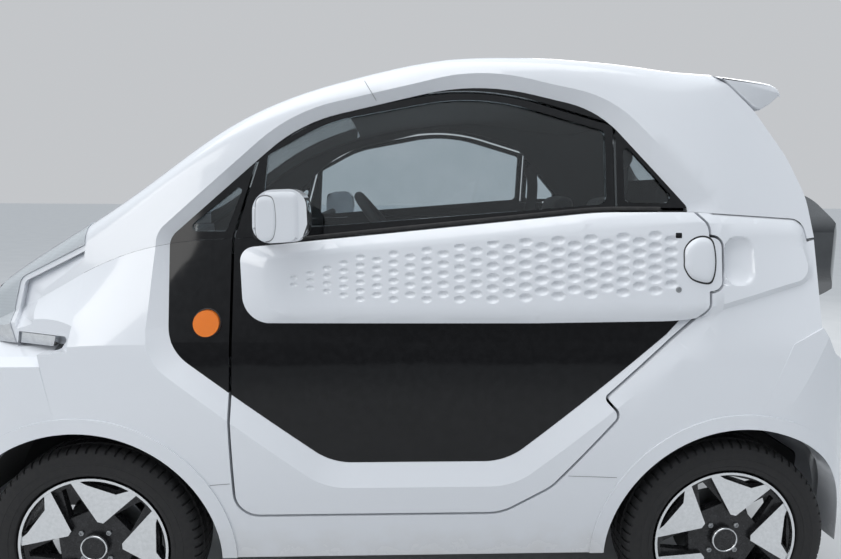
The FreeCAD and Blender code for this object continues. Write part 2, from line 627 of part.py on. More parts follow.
tail_edge = size("roof_skin") + size("tailgate_gap")
tail_space = body_solid(tail_edge, STATIONS)
tail_core = body_solid(tail_edge + size("tailgate_taper"), STATIONS)
tail_plate = side_prism(TAIL_FACE, -FAR, FAR).common(tail_space)
behind_flange = side_prism([(x - FLANGE, z, radius) for x, z, radius in TAIL_FACE], -FAR, FAR)
tail_plate = tail_plate.cut(behind_flange).fuse(tail_plate.common(tail_core))
tail_window = front_prism(WINDOW_REAR, 700, 1300)
tail_plan = plan_prism(end_plan(1190, 622, 150, 1), 800, 1600)
ring_block = side_prism(RING_SIDE, -FAR, FAR).common(front_prism(RING_REAR, 900, 1300)).common(tail_plan)
panel_rows = grown(RING_REAR, -RING_WALL)
ring = ring_block.cut(front_prism(panel_rows, 900, 1300))
lens_loop = front_prism(grown(RING_REAR, -LENS_EDGE), 1080, 1300)
lens_loop = lens_loop.cut(front_prism(grown(RING_REAR, -LENS_EDGE - LENS_WIDTH), 1080, 1300))
lens_skin = side_prism(RING_SIDE, -FAR, FAR).cut(side_prism(grown(RING_SIDE, -LENS_DEPTH), -FAR, FAR))
lens = lens_loop.common(lens_skin).common(tail_plan)
tail_panel = front_prism(grown(panel_rows, -seat_gap), 1032, 1112).common(ring_block)
keep("tailgate_frame", tail_plate.cut(tail_window).cut(ring).fuse(tail_panel))
keep("tailgate_ring", ring.cut(lens))
keep("tail_lamps", lens)
keep("tailgate_glass", side_prism(PANE_LINE, -FAR, FAR).common(tail_window).common(tail_core))
spoiler = side_prism(SPOILER, -FAR, FAR).common(body_solid(0, STATIONS))
keep("tailgate_spoiler", spoiler.cut(tail_plate))

# Wheels: turned tyre; rim with a barrel, a dished disc and five raised faces
tyre_r = size("tyre_radius")
rim_r = size("rim_radius")
face = size("tyre_face")
tread = size("tyre_width")
SPOKES = 5
# Raised face of one spoke: share of the rim radius, degrees clockwise from the top
WEDGE = [(0.37, 9.4), (0.95, -15.5), (0.95, -9), (0.885, -4), (0.81, 23.5), (0.95, 33), (0.95, 39), (0.37, 21.7)]
SLOT = [(0.93, -3), (0.905, -3), (0.835, 22), (0.93, 29)]
POCKET = [(0.5, 31), (0.88, 45), (0.88, 50), (0.5, 68)]
# columns: inset from the tyre's face, height over the rim edge (or None for the tread), drop below the tread
SIDEWALL = [(14, -4, None), (3, 14, None), (0, 36, None), (4, None, 26), (18, None, 5), (34, None, 0)]


def turned(rows, x):
    """Ring or disc turned about a wheel's axis from (y, radius) rows, left hand."""
    wire = outline([(y, radius, 0) for y, radius in rows], lambda u, v: V(x, u, wheel_z + v))
    return Part.Face(wire).revolve(V(x, 0, wheel_z), V(0, 1, 0), 360)


def tyre_at(x):
    """Tyre with its sidewalls and tread as straight bands."""
    heights = [rim_r + over if drop is None else tyre_r - drop for _, over, drop in SIDEWALL]
    outer = [(-face + row[0], height) for row, height in zip(SIDEWALL, heights)]
    inner = [(-face + tread - row[0], height) for row, height in zip(SIDEWALL, heights)]
    return turned(outer + inner[::-1], x)


def wheel_prism(rows, x, y_from, y_to, turn):
    """Polar outline about a wheel's centre, run along the axle."""
    points = []
    for share, degrees in rows:
        angle = math.radians(degrees + turn)
        points.append((x + rim_r * share * math.sin(angle), wheel_z + rim_r * share * math.cos(angle), 0))
    return side_prism(points, y_from, y_to)


def rim_at(x):
    out, back = -face, -face + tread
    barrel = turned([(out + 8, rim_r - 11), (out + 8, rim_r - 4.5), (back - 10, rim_r - 4.5),
                     (back - 10, rim_r - 12), (out + 22, rim_r - 16)], x)
    disc = turned([(out + 24, 1), (out + 24, rim_r - 30), (out + 14, rim_r - 8), (out + 40, rim_r - 8),
                   (out + 52, 60), (out + 59, 1)], x)
    cap = turned([(out + 12, 0), (out + 12, size("hub_radius") - 4), (out + 16, size("hub_radius")),
                  (out + 60, size("hub_radius")), (out + 60, 0)], x)
    shape = barrel.fuse(disc)
    turns = [i * 360 / SPOKES for i in range(SPOKES)]
    holes = [wheel_prism(rows, x, -FAR, -face + 80, turn) for turn in turns for rows in (SLOT, POCKET)]
    faces = [wheel_prism(WEDGE, x, out + 12, out + 26, turn) for turn in turns]
    return shape.cut(Part.makeCompound(holes)).fuse(faces + [cap])


for end, x in (("front", -axle), ("rear", axle)):
    tyre = tyre_at(x)
    rim = rim_at(x)
    for side, place in (("left", Part.Shape.copy), ("right", to_right)):
        keep("tyre_%s_%s" % (end, side), place(tyre))
        keep("rim_%s_%s" % (end, side), place(rim))

# Floor, firewall, seat riser and load floor in one pressing, run across the car
FLOOR = [(-488, 760, 0), (-488, 300, 60), (-400, 252, 60), (520, 252, 30), (598, 610, 20), (1030, 610, 0),
         (1030, 640, 0), (568, 640, 20), (506, 282, 20), (-390, 282, 50), (-458, 320, 50), (-458, 760, 0)]
floor_half = size("sill_half_width") - skin - seat_gap
floor_pan = keep("floor_pan", side_prism(FLOOR, -floor_half, floor_half))


# Inner wheel arches, behind the panels
def liner(x, inner, outer, low):
    """Half-round liner between two distances from the centreline."""
    radius = size("arch_radius")
    ring_shape = rod(V(x, -outer, wheel_z), V(x, -inner, wheel_z), radius + 8)
    ring_shape = ring_shape.cut(rod(V(x, -outer, wheel_z), V(x, -inner, wheel_z), radius + 4))
    return ring_shape.common(box(x - 400, x + 400, -outer, -inner, low, 800))


liner_outer = size("sill_half_width") - seat_gap
front_liner = liner(-axle, 430, liner_outer, 372).cut(fender).cut(front_bumper).cut(sill)
rear_liner = liner(axle, floor_half + 1, liner_outer, 300).cut(quarter).cut(rear_bumper).cut(sill)
keep("arch_liners", Part.makeCompound([both(front_liner), both(rear_liner)]))


def across(name, side, inner, outer, radius, x):
    """Cylinder along Y at axle height, between two distances from the centreline."""
    low = inner if side > 0 else "-(%s)" % outer
    return bound("Part::Cylinder", name, (x, low, "Sizes.wheel_height"), ((1, 0, 0), -90),
                 Radius=radius, Height="(%s) - (%s)" % (outer, inner))


def less(name, base, tool):
    """Cut of one document object by another."""
    item = doc.addObject("Part::Cut", name)
    item.Base = base
    item.Tool = tool
    return item


HUB_FACE = "Sizes.tyre_face - 60 - Sizes.seat_gap"
FRONT_X = "-Sizes.wheelbase / 2"
REAR_X = "Sizes.wheelbase / 2"

# Steering knuckles: hub, kingpin and brake disc
for side, sign in (("left", -1), ("right", 1)):
    hub = across("hub_" + side, sign, "Sizes.kingpin_half + 20", HUB_FACE, "52", FRONT_X)
    disc = across("disc_" + side, sign, "Sizes.kingpin_half + 46", "Sizes.kingpin_half + 58",
                  "Sizes.disc_radius", FRONT_X)
    pin_y = "%d * Sizes.kingpin_half" % sign
    pin = bound("Part::Cylinder", "kingpin_" + side, (FRONT_X, pin_y, "Sizes.wheel_height - 96 + Sizes.seat_gap"),
                Radius="26", Height="212 - 2 * Sizes.seat_gap")
    keep_item("knuckle_" + side, joined("knuckle_%s_fuse" % side, [hub, disc, pin]))

# Front subframe: crossmember, rails, crash beam with the tow socket, arms and towers
def frame_box(name, x0, x1, y0, y1, z0, z1):
    """Bar of the subframe: X from the front axle, Y from the centreline, Z from axle height."""
    return bound("Part::Box", name, ("%s + (%g)" % (FRONT_X, x0), "%g" % y0, "Sizes.wheel_height + (%g)" % z0),
                 Length="%g" % (x1 - x0), Width="%g" % (y1 - y0), Height="%g" % (z1 - z0))


arm_end = size("kingpin_half") + 25
# columns: name, x from, x to, y from, y to, z from, z to; each bar with a negative y has a twin on the right
BARS = [("crossmember", -60, 60, -262, 262, -125, -30), ("crash_beam", -333, -298, -440, 440, -27, 63),
        ("rail", -298, 440, -262, -200, -97, -17), ("lower_arm", -30, 30, -arm_end, -200, -125, -96),
        ("upper_arm", -30, 30, -arm_end, -300, 116, 146), ("tower", -40, 40, -310, -260, -100, 423)]
bars = []
for name, x0, x1, y0, y1, z0, z1 in BARS:
    bars.append(frame_box(name, x0, x1, y0, y1, z0, z1))
    if y1 < 0:
        bars.append(frame_box(name + "_right", x0, x1, -y1, -y0, z0, z1))
socket = bound("Part::Cylinder", "socket", ("-1150", "Sizes.tow_half", "Sizes.tow_height"), ((0, 1, 0), -90),
               Radius="16", Height="%d" % (-TOW_END - 1150))
bore = bound("Part::Cylinder", "bore", ("%d + Sizes.tow_length" % TOW_END, "Sizes.tow_half", "Sizes.tow_height"),
             ((0, 1, 0), -90), Radius="Sizes.tow_hole_radius", Height="Sizes.tow_length + 5")
subframe = less("subframe_bored", joined("subframe_bars", bars + [socket]), bore)
keep_item("front_subframe", less("subframe_fitted", subframe, floor_pan))

# Rear beam axle with trailing arms, and the motor on it
beam = bound("Part::Cylinder", "beam", (REAR_X, "-(%s)" % HUB_FACE, "Sizes.wheel_height"), ((1, 0, 0), -90),
             Radius="Sizes.axle_radius", Height="2 * (%s)" % HUB_FACE)
arms = [bound("Part::Box", "trailing_arm_%d" % (sign + 1), ("515", "%d" % (sign * 390 - 30), "Sizes.wheel_height - 30"),
              Length="Sizes.wheelbase / 2 - 515", Width="60", Height="60") for sign in (-1, 1)]
motor = bound("Part::Cylinder", "motor", (REAR_X, "-Sizes.motor_length / 2", "Sizes.wheel_height"),
              ((1, 0, 0), -90), Radius="Sizes.motor_radius", Height="Sizes.motor_length")
beam = less("beam_at_floor", joined("beam_and_arms", [beam] + arms), floor_pan)
motor_space = bound("Part::Cylinder", "motor_space", (REAR_X, "-Sizes.motor_length / 2", "Sizes.wheel_height"),
                    ((1, 0, 0), -90), Radius="Sizes.motor_radius", Height="Sizes.motor_length")
keep_item("rear_axle", less("beam_at_motor", beam, motor_space))
keep_item("drive_motor", motor)
keep_item("battery_pack", bound("Part::Box", "battery", ("110", "-Sizes.battery_width / 2", "282"),
                                Length="Sizes.battery_length", Width="Sizes.battery_width",
                                Height="Sizes.battery_height"))

# Seats: cushion, back and head restraint
SEAT_BASE = 282 + size("battery_height") + seat_gap
CUSHION = [(0, SEAT_BASE, 20), (-20, 560, 50), (60, 590, 60), (430, 548, 40), (526, 470, 30), (500, SEAT_BASE, 20)]
BACKREST = [(430, 540, 30), (520, 1010, 50), (560, 1060, 40), (640, 1050, 40), (546, 600, 60), (522, 470, 20)]
HEADREST = [(545, 1030, 10), (556, 1090, 20), (568, 1190, 30), (640, 1200, 30), (650, 1100, 30), (610, 1030, 10)]
SEAT_INNER, SEAT_OUTER = 70, 540
seat_mid = -(SEAT_INNER + SEAT_OUTER) / 2
seat = side_prism(CUSHION, -SEAT_OUTER, -SEAT_INNER)
seat = seat.fuse(side_prism(BACKREST, -SEAT_OUTER + 10, -SEAT_INNER - 10))
seat = seat.fuse(side_prism(HEADREST, seat_mid - 130, seat_mid + 130))
keep("seats", both(seat))

# Dashboard with the driver's binnacle, and the steering column and wheel
DASH = [(-558, 960, 60), (-420, 1060, 80), (-300, 1050, 60), (-300, 900, 60), (-420, 760, 60), (-558, 760, 0)]
dash = side_prism(DASH, -575, 575).cut(floor_pan.Shape)
driver_y = size("driver_y")
binnacle = side_prism([(-380, 1040, 10), (-350, 1096, 20), (-270, 1096, 20), (-290, 1020, 10)],
                      -driver_y - 110, -driver_y + 110)
rake = math.radians(size("steer_rake"))
aim = V(math.cos(rake), 0, math.sin(rake))
wheel_mid = V(size("steer_wheel_x"), -driver_y, size("steer_wheel_z"))
column = rod(wheel_mid - aim * 300, wheel_mid - aim * 42, 32)
keep("dashboard", dash.fuse([binnacle, column]))
tilt = ((0, 1, 0), 90 - size("steer_rake"))
ring_item = bound("Part::Torus", "wheel_rim", ("Sizes.steer_wheel_x", "-Sizes.driver_y", "Sizes.steer_wheel_z"), tilt,
                  Radius1="Sizes.steer_wheel_radius - Sizes.steer_rim_radius", Radius2="Sizes.steer_rim_radius")
hub = doc.addObject("Part::Feature", "wheel_hub")
hub.Shape = rod(wheel_mid - aim * 41, wheel_mid - aim * 5, 45)
spokes = []
for angle in (0, 90, 180):
    spoke = doc.addObject("Part::Feature", "wheel_spoke_%d" % angle)
    shape = Part.makeBox(size("steer_wheel_radius") - 30, 30, 14, V(20, -15, -22))
    shape.rotate(V(0, 0, 0), V(0, 0, 1), angle - 90)
    shape.rotate(V(0, 0, 0), V(0, 1, 0), 90 - size("steer_rake"))
    shape.translate(wheel_mid)
    spoke.Shape = shape
    spokes.append(spoke)
keep_item("steering_wheel", joined("wheel_parts", [ring_item, hub] + spokes))

doc.recompute()
for item in doc.Objects:
    if "Invalid" in item.State or "Error" in item.State:
        raise RuntimeError("%s is in error" % item.Label)
for item in parts:
    if item.Shape.isNull() or not item.Shape.isValid() or not item.Shape.Solids:
        raise RuntimeError("%s has no valid shape" % item.Label)
os.makedirs("parts", exist_ok=True)
for item in parts:
    item.Shape.exportStep("parts/%s.step" % item.Label)
    print("%-18s %2d solids %8.2f litres" % (item.Label, len(item.Shape.Solids), item.Shape.Volume / 1e6))
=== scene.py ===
import math

import bpy
import bmesh
from mathutils import Matrix, Vector
from mathutils.bvhtree import BVHTree


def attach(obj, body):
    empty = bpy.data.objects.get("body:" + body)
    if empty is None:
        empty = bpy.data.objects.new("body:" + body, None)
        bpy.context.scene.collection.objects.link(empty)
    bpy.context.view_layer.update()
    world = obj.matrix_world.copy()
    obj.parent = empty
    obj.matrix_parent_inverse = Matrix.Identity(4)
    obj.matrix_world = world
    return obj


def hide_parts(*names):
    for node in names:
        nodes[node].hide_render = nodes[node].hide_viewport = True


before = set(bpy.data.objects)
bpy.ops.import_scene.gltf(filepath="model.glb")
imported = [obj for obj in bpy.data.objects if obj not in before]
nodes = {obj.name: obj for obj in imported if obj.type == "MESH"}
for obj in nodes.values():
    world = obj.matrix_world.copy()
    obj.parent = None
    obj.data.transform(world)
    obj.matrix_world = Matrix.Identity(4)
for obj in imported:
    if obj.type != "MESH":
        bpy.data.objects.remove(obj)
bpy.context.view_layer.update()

# Wheel places, in metres, and the two sides of the car
AXLE = 0.84
WHEEL_Z = 0.277
SIDES = (("left", -1), ("right", 1))
CORNERS = (("front", "left", -1, -1, "wheel_fl"), ("front", "right", -1, 1, "wheel_fr"),
           ("rear", "left", 1, -1, "wheel_rl"), ("rear", "right", 1, 1, "wheel_rr"))


# Materials
def tree_of(name):
    """A new material with its node tree and shader."""
    material = bpy.data.materials.new(name)
    material.use_nodes = True
    tree = material.node_tree
    return material, tree, tree.nodes["Principled BSDF"]


def add(tree, kind, **values):
    """A node with its input sockets and settings filled in."""
    node = tree.nodes.new(kind)
    for key, value in values.items():
        if key in node.inputs:
            node.inputs[key].default_value = value
        else:
            setattr(node, key, value)
    return node


def link(tree, a, out, b, into):
    tree.links.new(a.outputs[out], b.inputs[into])


def shade(shader, **values):
    for key, value in values.items():
        shader.inputs[key.replace("_", " ")].default_value = value


def noise_of(tree, scale, detail, roughness=0.55):
    coords = add(tree, "ShaderNodeTexCoord")
    noise = add(tree, "ShaderNodeTexNoise", Scale=scale, Detail=detail, Roughness=roughness)
    link(tree, coords, "Object", noise, "Vector")
    return noise


def wave_of(tree, coords, direction, **values):
    wave = add(tree, "ShaderNodeTexWave", **values)
    wave.bands_direction = direction
    link(tree, coords, "Object", wave, "Vector")
    return wave


def ramp_between(tree, source, out, dark, light, low=0.3, high=0.7):
    ramp = add(tree, "ShaderNodeValToRGB")
    ramp.color_ramp.elements[0].position = low
    ramp.color_ramp.elements[0].color = (*dark, 1)
    ramp.color_ramp.elements[1].position = high
    ramp.color_ramp.elements[1].color = (*light, 1)
    link(tree, source, out, ramp, "Fac")
    return ramp


def tint_from(tree, source, out, shader, dark, light, low=0.3, high=0.7):
    ramp = ramp_between(tree, source, out, dark, light, low, high)
    link(tree, ramp, "Color", shader, "Base Color")
    return ramp


def bump_from(tree, source, out, shader, strength, distance):
    bump = add(tree, "ShaderNodeBump", Strength=strength, Distance=distance)
    link(tree, source, out, bump, "Height")
    link(tree, bump, "Normal", shader, "Normal")


def rough_from(tree, source, out, shader, low, high):
    span = add(tree, "ShaderNodeMapRange")
    span.inputs["To Min"].default_value = low
    span.inputs["To Max"].default_value = high
    link(tree, source, out, span, "Value")
    link(tree, span, "Result", shader, "Roughness")


DUST_LOW, DUST_HIGH = 0.24, 0.42


def paint_material():
    """White gloss paint with a faint orange peel and a little road dust low down."""
    material, tree, shader = tree_of("white_paint")
    shade(shader, Roughness=0.22, Coat_Weight=0.6, Coat_Roughness=0.04, IOR=1.5)
    coords = add(tree, "ShaderNodeTexCoord")
    split = add(tree, "ShaderNodeSeparateXYZ")
    link(tree, coords, "Object", split, "Vector")
    low = add(tree, "ShaderNodeMapRange")
    for key, value in (("From Min", DUST_LOW), ("From Max", DUST_HIGH), ("To Min", 1.0),
                       ("To Max", 0.0)):
        low.inputs[key].default_value = value
    link(tree, split, "Z", low, "Value")
    speck = noise_of(tree, 14.0, 6.0, 0.6)
    grime = add(tree, "ShaderNodeMath", operation="MULTIPLY")
    link(tree, low, "Result", grime, 0)
    link(tree, speck, "Fac", grime, 1)
    tint_from(tree, grime, "Value", shader, (0.72, 0.74, 0.775), (0.60, 0.59, 0.57), 0.2, 0.95)
    rough_from(tree, grime, "Value", shader, 0.16, 0.42)
    peel = noise_of(tree, 900.0, 2.0, 0.5)
    bump_from(tree, peel, "Fac", shader, 0.06, 0.0004)
    return material


def surface(name, grain, dark, light, rough=None, bump=None, span=(0.3, 0.7), **settings):
    """A material whose colour, roughness and relief all follow one noise."""
    material, tree, shader = tree_of(name)
    shade(shader, **settings)
    noise = noise_of(tree, *grain)
    tint_from(tree, noise, "Fac", shader, dark, light, *span)
    if rough:
        rough_from(tree, noise, "Fac", shader, *rough)
    if bump:
        bump_from(tree, noise, "Fac", shader, *bump)
    return material


def grained(name, scale, dark, light, depth):
    """Matt rubber, soft plastic, felt, enamel or webbing."""
    return surface(name, (scale, 8.0, 0.65), dark, light, (0.5, 0.85), (0.3, depth), IOR=1.45)


def metal(name, scale, dark, light, rough, metallic=1.0, depth=0.0004):
    """Cast, painted or machined metal with uneven finish."""
    return surface(name, (scale, 8.0, 0.6), dark, light, rough, (0.2, depth), Metallic=metallic)


PLAIN_FROM = 0.9


def lens(name, colour, glow, transmission, flutes=60.0, contrast=0.72):
    """Moulded lens with fine upright fluting; above PLAIN_FROM the flutes hardly show."""
    material, tree, shader = tree_of(name)
    shade(shader, IOR=1.49, Coat_Weight=1.0, Coat_Roughness=0.02,
          Transmission_Weight=transmission)
    coords = add(tree, "ShaderNodeTexCoord")
    wave = wave_of(tree, coords, "Z", Scale=flutes, Distortion=0.0)
    darker = tuple(c * contrast for c in colour)
    tint = tint_from(tree, wave, "Fac", shader, darker, colour, 0.1, 0.9)
    rough_from(tree, wave, "Fac", shader, 0.08, 0.2)
    if glow:
        link(tree, tint, "Color", shader, "Emission Color")
        shade(shader, Emission_Strength=glow)
    bump_from(tree, wave, "Fac", shader, 0.15 if contrast < PLAIN_FROM else 0.03, 0.001)
    return material


def fabric_material():
    """Woven seat cover: waves in three directions added up."""
    material, tree, shader = tree_of("seat_fabric")
    shade(shader, Sheen_Weight=0.4, Sheen_Roughness=0.5, Roughness=0.9)
    coords = add(tree, "ShaderNodeTexCoord")
    weave, out = None, "Fac"
    for direction in ("X", "Y", "Z"):
        wave = wave_of(tree, coords, direction, Scale=160.0, Distortion=0.6, Detail=1.0)
        if weave is None:
            weave = wave
            continue
        joined = add(tree, "ShaderNodeMath", operation="ADD")
        link(tree, weave, out, joined, 0)
        link(tree, wave, "Fac", joined, 1)
        weave, out = joined, "Value"
    tint_from(tree, weave, "Value", shader, (0.022, 0.023, 0.026), (0.055, 0.057, 0.062), 0.6, 2.0)
    bump_from(tree, weave, "Value", shader, 0.5, 0.0008)
    return material


# Finishes of a grain: name, scale, dark and light colour, depth
GRAINED = {
    "rubber": ("seal_rubber", 60.0, (0.012, 0.012, 0.013), (0.035, 0.034, 0.033), 0.0006),
    "tyre": ("tyre_rubber", 90.0, (0.008, 0.008, 0.009), (0.022, 0.021, 0.021), 0.0008),
    "plastic": ("grained_plastic", 420.0, (0.020, 0.020, 0.022), (0.038, 0.038, 0.040), 0.0004),
    "liner": ("liner_felt", 240.0, (0.010, 0.010, 0.011), (0.022, 0.022, 0.022), 0.0010),
    "battery": ("battery_case", 120.0, (0.08, 0.09, 0.10), (0.12, 0.13, 0.14), 0.0006),
    "trim_grey": ("trim_grey", 160.0, (0.16, 0.165, 0.17), (0.24, 0.245, 0.25), 0.0003),
    "webbing": ("belt_webbing", 700.0, (0.012, 0.012, 0.013), (0.04, 0.04, 0.042), 0.0004),
    "plate": ("plate_enamel", 200.0, (0.62, 0.63, 0.64), (0.70, 0.71, 0.72), 0.0002),
}

# Metals: name, scale, dark and light colour, roughness, how metallic, depth
METALS = {
    "steel": ("chassis_steel", 18.0, (0.03, 0.03, 0.032), (0.07, 0.07, 0.072), (0.35, 0.6), 0.5),
    "cast": ("cast_alloy", 40.0, (0.30, 0.31, 0.32), (0.42, 0.43, 0.44), (0.35, 0.55)),
    "machined": ("machined_alloy", 120.0, (0.66, 0.67, 0.68), (0.80, 0.81, 0.82), (0.16, 0.3),
                 1.0, 0.0001),
    "wheel_black": ("wheel_black", 60.0, (0.012, 0.012, 0.013), (0.03, 0.03, 0.032),
                    (0.18, 0.35), 0.3),
    "mirror": ("mirror_silver", 8.0, (0.70, 0.72, 0.74), (0.80, 0.82, 0.84), (0.01, 0.04)),
    "silver": ("reflector", 80.0, (0.70, 0.71, 0.72), (0.85, 0.86, 0.87), (0.12, 0.22)),
}

# Lenses: name, colour, glow, transmission, flutes, how dark the flutes are
LENSES = {
    "clear": ("clear_lens", (0.60, 0.64, 0.67), 0.0, 0.25, 40.0, 0.96),
    "round": ("round_lens", (0.80, 0.83, 0.86), 0.12, 0.3, 110.0, 0.6),
    "red": ("red_lens", (0.55, 0.015, 0.012), 0.15, 0.2),
    "orange": ("orange_lens", (0.85, 0.20, 0.005), 0.12, 0.1, 150.0, 0.75),
}

# Every finish by its name
M = {
    "paint": paint_material(), "fabric": fabric_material(),
    "gloss_black": surface("gloss_black", (55.0, 8.0, 0.7), (0.003, 0.003, 0.0035),
                           (0.010, 0.010, 0.011), (0.04, 0.12), span=(0.4, 0.85), IOR=1.4),
    "smoked": surface("smoked_ring", (20.0, 3.0), (0.030, 0.033, 0.036), (0.046, 0.050, 0.054),
                      (0.06, 0.12), Coat_Weight=0.9, Coat_Roughness=0.02, IOR=1.52),
    "glass": surface("tinted_glass", (6.0, 3.0), (0.68, 0.75, 0.78), (0.74, 0.80, 0.83),
                     (0.0, 0.03), Roughness=0.02, IOR=1.45, Transmission_Weight=1.0),
}
for make, table in ((grained, GRAINED), (metal, METALS), (lens, LENSES)):
    for finish, values in table.items():
        M[finish] = make(*values)


def both(name):
    return [name.format(side_name) for side_name, _ in SIDES]


# The CAD nodes that carry one finish all over; the tyres are left to the default
NODES_IN = {
    "paint": ("fenders", "sills", "quarters", "roof_shell", "hood", "front_bumper", "rear_bumper",
              "tailgate_spoiler", *both("door_{}_skirt"), *both("door_{}_band")),
    "gloss_black": ("side_inserts", "tailgate_frame", "front_mask", *both("door_{}_panel")),
    "glass": ("fixed_glass", "tailgate_glass", *both("door_{}_glass")),
    "smoked": ("tailgate_ring",),
    "red": ("tail_lamps",),
    "plastic": ("bumper_grilles", "floor_pan", "dashboard", "steering_wheel"),
    "liner": ("arch_liners",),
    "steel": ("front_subframe", "rear_axle", *both("knuckle_{}")),
    "cast": ("drive_motor",),
    "battery": ("battery_pack",),
    "fabric": ("seats",),
}
FINISH = {name: finish for finish, names in NODES_IN.items() for name in names}


def dress(name, finishes, choose=None):
    """Give a CAD node its procedural materials, each face the one that choose names."""
    mesh = nodes[name].data
    mesh.materials.clear()
    for finish in finishes:
        mesh.materials.append(M[finish])
    if choose:
        for polygon in mesh.polygons:
            polygon.material_index = choose(polygon)


# Where the rims are machined, the mirrors dark, and the lamps round
RIM_FACE_Y = 0.6835
RIM_FACING = 0.3
MIRROR_INNER_Y = 0.712
MIRROR_REAR_X = -0.262
ROUND_LENSES = ((0.470, 0.906), (0.372, 0.906))
ROUND_LENS_REACH = 0.043
INDICATOR_FROM_X = -0.6
FOG_BELOW_Z = 0.845
FOG_BEYOND_Y = 0.6


def rim_slot(polygon):
    return int(abs(polygon.center.y) > RIM_FACE_Y and abs(polygon.normal.y) > RIM_FACING)


def mirror_slot(polygon):
    return int(abs(polygon.center.y) < MIRROR_INNER_Y or polygon.center.x > MIRROR_REAR_X)


def lamp_slot(polygon):
    x, y, z = polygon.center
    if x > INDICATOR_FROM_X:
        return 2
    if z < FOG_BELOW_Z and abs(y) > FOG_BEYOND_Y:
        return 3
    near = min(math.hypot(abs(y) - lens_y, z - lens_z) for lens_y, lens_z in ROUND_LENSES)
    return int(near < ROUND_LENS_REACH)


for name in nodes:
    if name.startswith("rim"):
        dress(name, ("wheel_black", "machined"), rim_slot)
    elif name.startswith("mirror"):
        dress(name, ("paint", "plastic"), mirror_slot)
    elif name == "front_lamps":
        dress(name, ("clear", "round", "orange", "silver"), lamp_slot)
    else:
        dress(name, (FINISH.get(name, "tyre"),))


# Shape helpers
WELD = 1e-5
OUTWARD = 0.2
ON_SKIN = 0.002
FAR_OUT = 1.2
SKIN_GUESS = 0.7


def smooth_mesh(mesh, angle):
    """Round shading with the edges sharper than the angle left crisp."""
    work = bmesh.new()
    work.from_mesh(mesh)
    limit = math.radians(angle)
    for edge in work.edges:
        edge.smooth = len(edge.link_faces) != 2 or edge.calc_face_angle(0.0) < limit
    for face in work.faces:
        face.smooth = True
    work.to_mesh(mesh)
    work.free()


def settle(name, mesh, finishes, body, stands_for=(), choose=None):
    """A finished mesh as a scene piece that rides on a CAD body and may stand for CAD nodes."""
    for finish in finishes:
        mesh.materials.append(M[finish])
    item = bpy.data.objects.new(name, mesh)
    bpy.context.scene.collection.objects.link(item)
    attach(item, body)
    if stands_for:
        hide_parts(*stands_for)
    if choose:
        slots = [choose(polygon) for polygon in mesh.polygons]
        mesh.polygons.foreach_set("material_index", slots)
    return item


def piece(name, shape, finish, body, angle=35.0, stands_for=()):
    """A scene piece from a pair of points and faces, riding on a CAD body."""
    points, faces = shape
    mesh = bpy.data.meshes.new(name)
    mesh.from_pydata([tuple(p) for p in points], [], faces)
    work = bmesh.new()
    work.from_mesh(mesh)
    bmesh.ops.recalc_face_normals(work, faces=work.faces)
    work.to_mesh(mesh)
    work.free()
    smooth_mesh(mesh, angle)
    return settle(name, mesh, (finish,), body, stands_for)


def welded_copy(node):
    """A CAD node's mesh to work on, with its faces joined up."""
    work = bmesh.new()
    work.from_mesh(nodes[node].data)
    bmesh.ops.remove_doubles(work, verts=work.verts, dist=WELD)
    return work


def set_in(name, work, finishes, body, node, angle, choose=None):
    """The worked copy of a CAD node as a scene piece in the node's place."""
    mesh = bpy.data.meshes.new(name)
    work.to_mesh(mesh)
    work.free()
    smooth_mesh(mesh, angle)
    settle(name, mesh, finishes, body, (node,), choose)


def tree_from(*names):
    """A ray-casting tree over the shown skin of some CAD nodes."""
    points = []
    faces = []
    for name in names:
        mesh = nodes[name].data
        start = len(points)
        points.extend(v.co.copy() for v in mesh.vertices)
        faces.extend(tuple(start + i for i in p.vertices) for p in mesh.polygons)
    return BVHTree.FromPolygons(points, faces)


def skin_y(tree, side, x, z, fallback=SKIN_GUESS):
    """The outermost y of the skin at a place seen from one side."""
    hit = tree.ray_cast(Vector((x, side * FAR_OUT, z)), Vector((0, -side, 0)))[0]
    if hit is None:
        near = tree.find_nearest(Vector((x, side * fallback, z)))[0]
        return near.y if near is not None else side * fallback
    return hit.y


def hit_by(tree, start, along, axis, fallback=0.0):
    """One coordinate of the first place that a ray meets."""
    hit = tree.ray_cast(Vector(start), Vector(along))[0]
    return hit[axis] if hit is not None else fallback


def between(a, b, c, d, t):
    """A point of the smooth curve between b and c."""
    return 0.5 * (2 * b + (c - a) * t + (2 * a - 5 * b + 4 * c - d) * t * t
                  + (3 * b - a - 3 * c + d) * t ** 3)


def closed_curve(corners, per_side):
    """A smooth closed run of points through the corners."""
    out = []
    count = len(corners)
    for i in range(count):
        four = [Vector(corners[(i + k) % count]) for k in (-1, 0, 1, 2)]
        out.extend(between(*four, step / per_side) for step in range(per_side))
    return out


def open_curve(corners, per_side=8):
    """A smooth open run of points through the corners."""
    ends = [corners[0], *corners, corners[-1]]
    out = []
    for i in range(1, len(ends) - 2):
        four = [Vector(ends[i + k]) for k in (-1, 0, 1, 2)]
        out.extend(between(*four, step / per_side) for step in range(per_side))
    out.append(Vector(corners[-1]))
    return out


def middle_of(points):
    return sum(points, Vector((0, 0))) / len(points)


def wider(outline, grow):
    outline = [Vector(p) for p in outline]
    middle = middle_of(outline)
    return [middle + (p - middle) * grow for p in outline]


def tube_faces(rings, count, ends=True):
    """Faces between rings of points that follow each other, and over both ends."""
    faces = []
    for i in range(rings - 1):
        for k in range(count):
            a = i * count + k
            b = i * count + (k + 1) % count
            faces.append((a, b, b + count, a + count))
    if ends:
        faces.append(tuple(range(count)))
        faces.append(tuple(range((rings - 1) * count, rings * count)))
    return faces


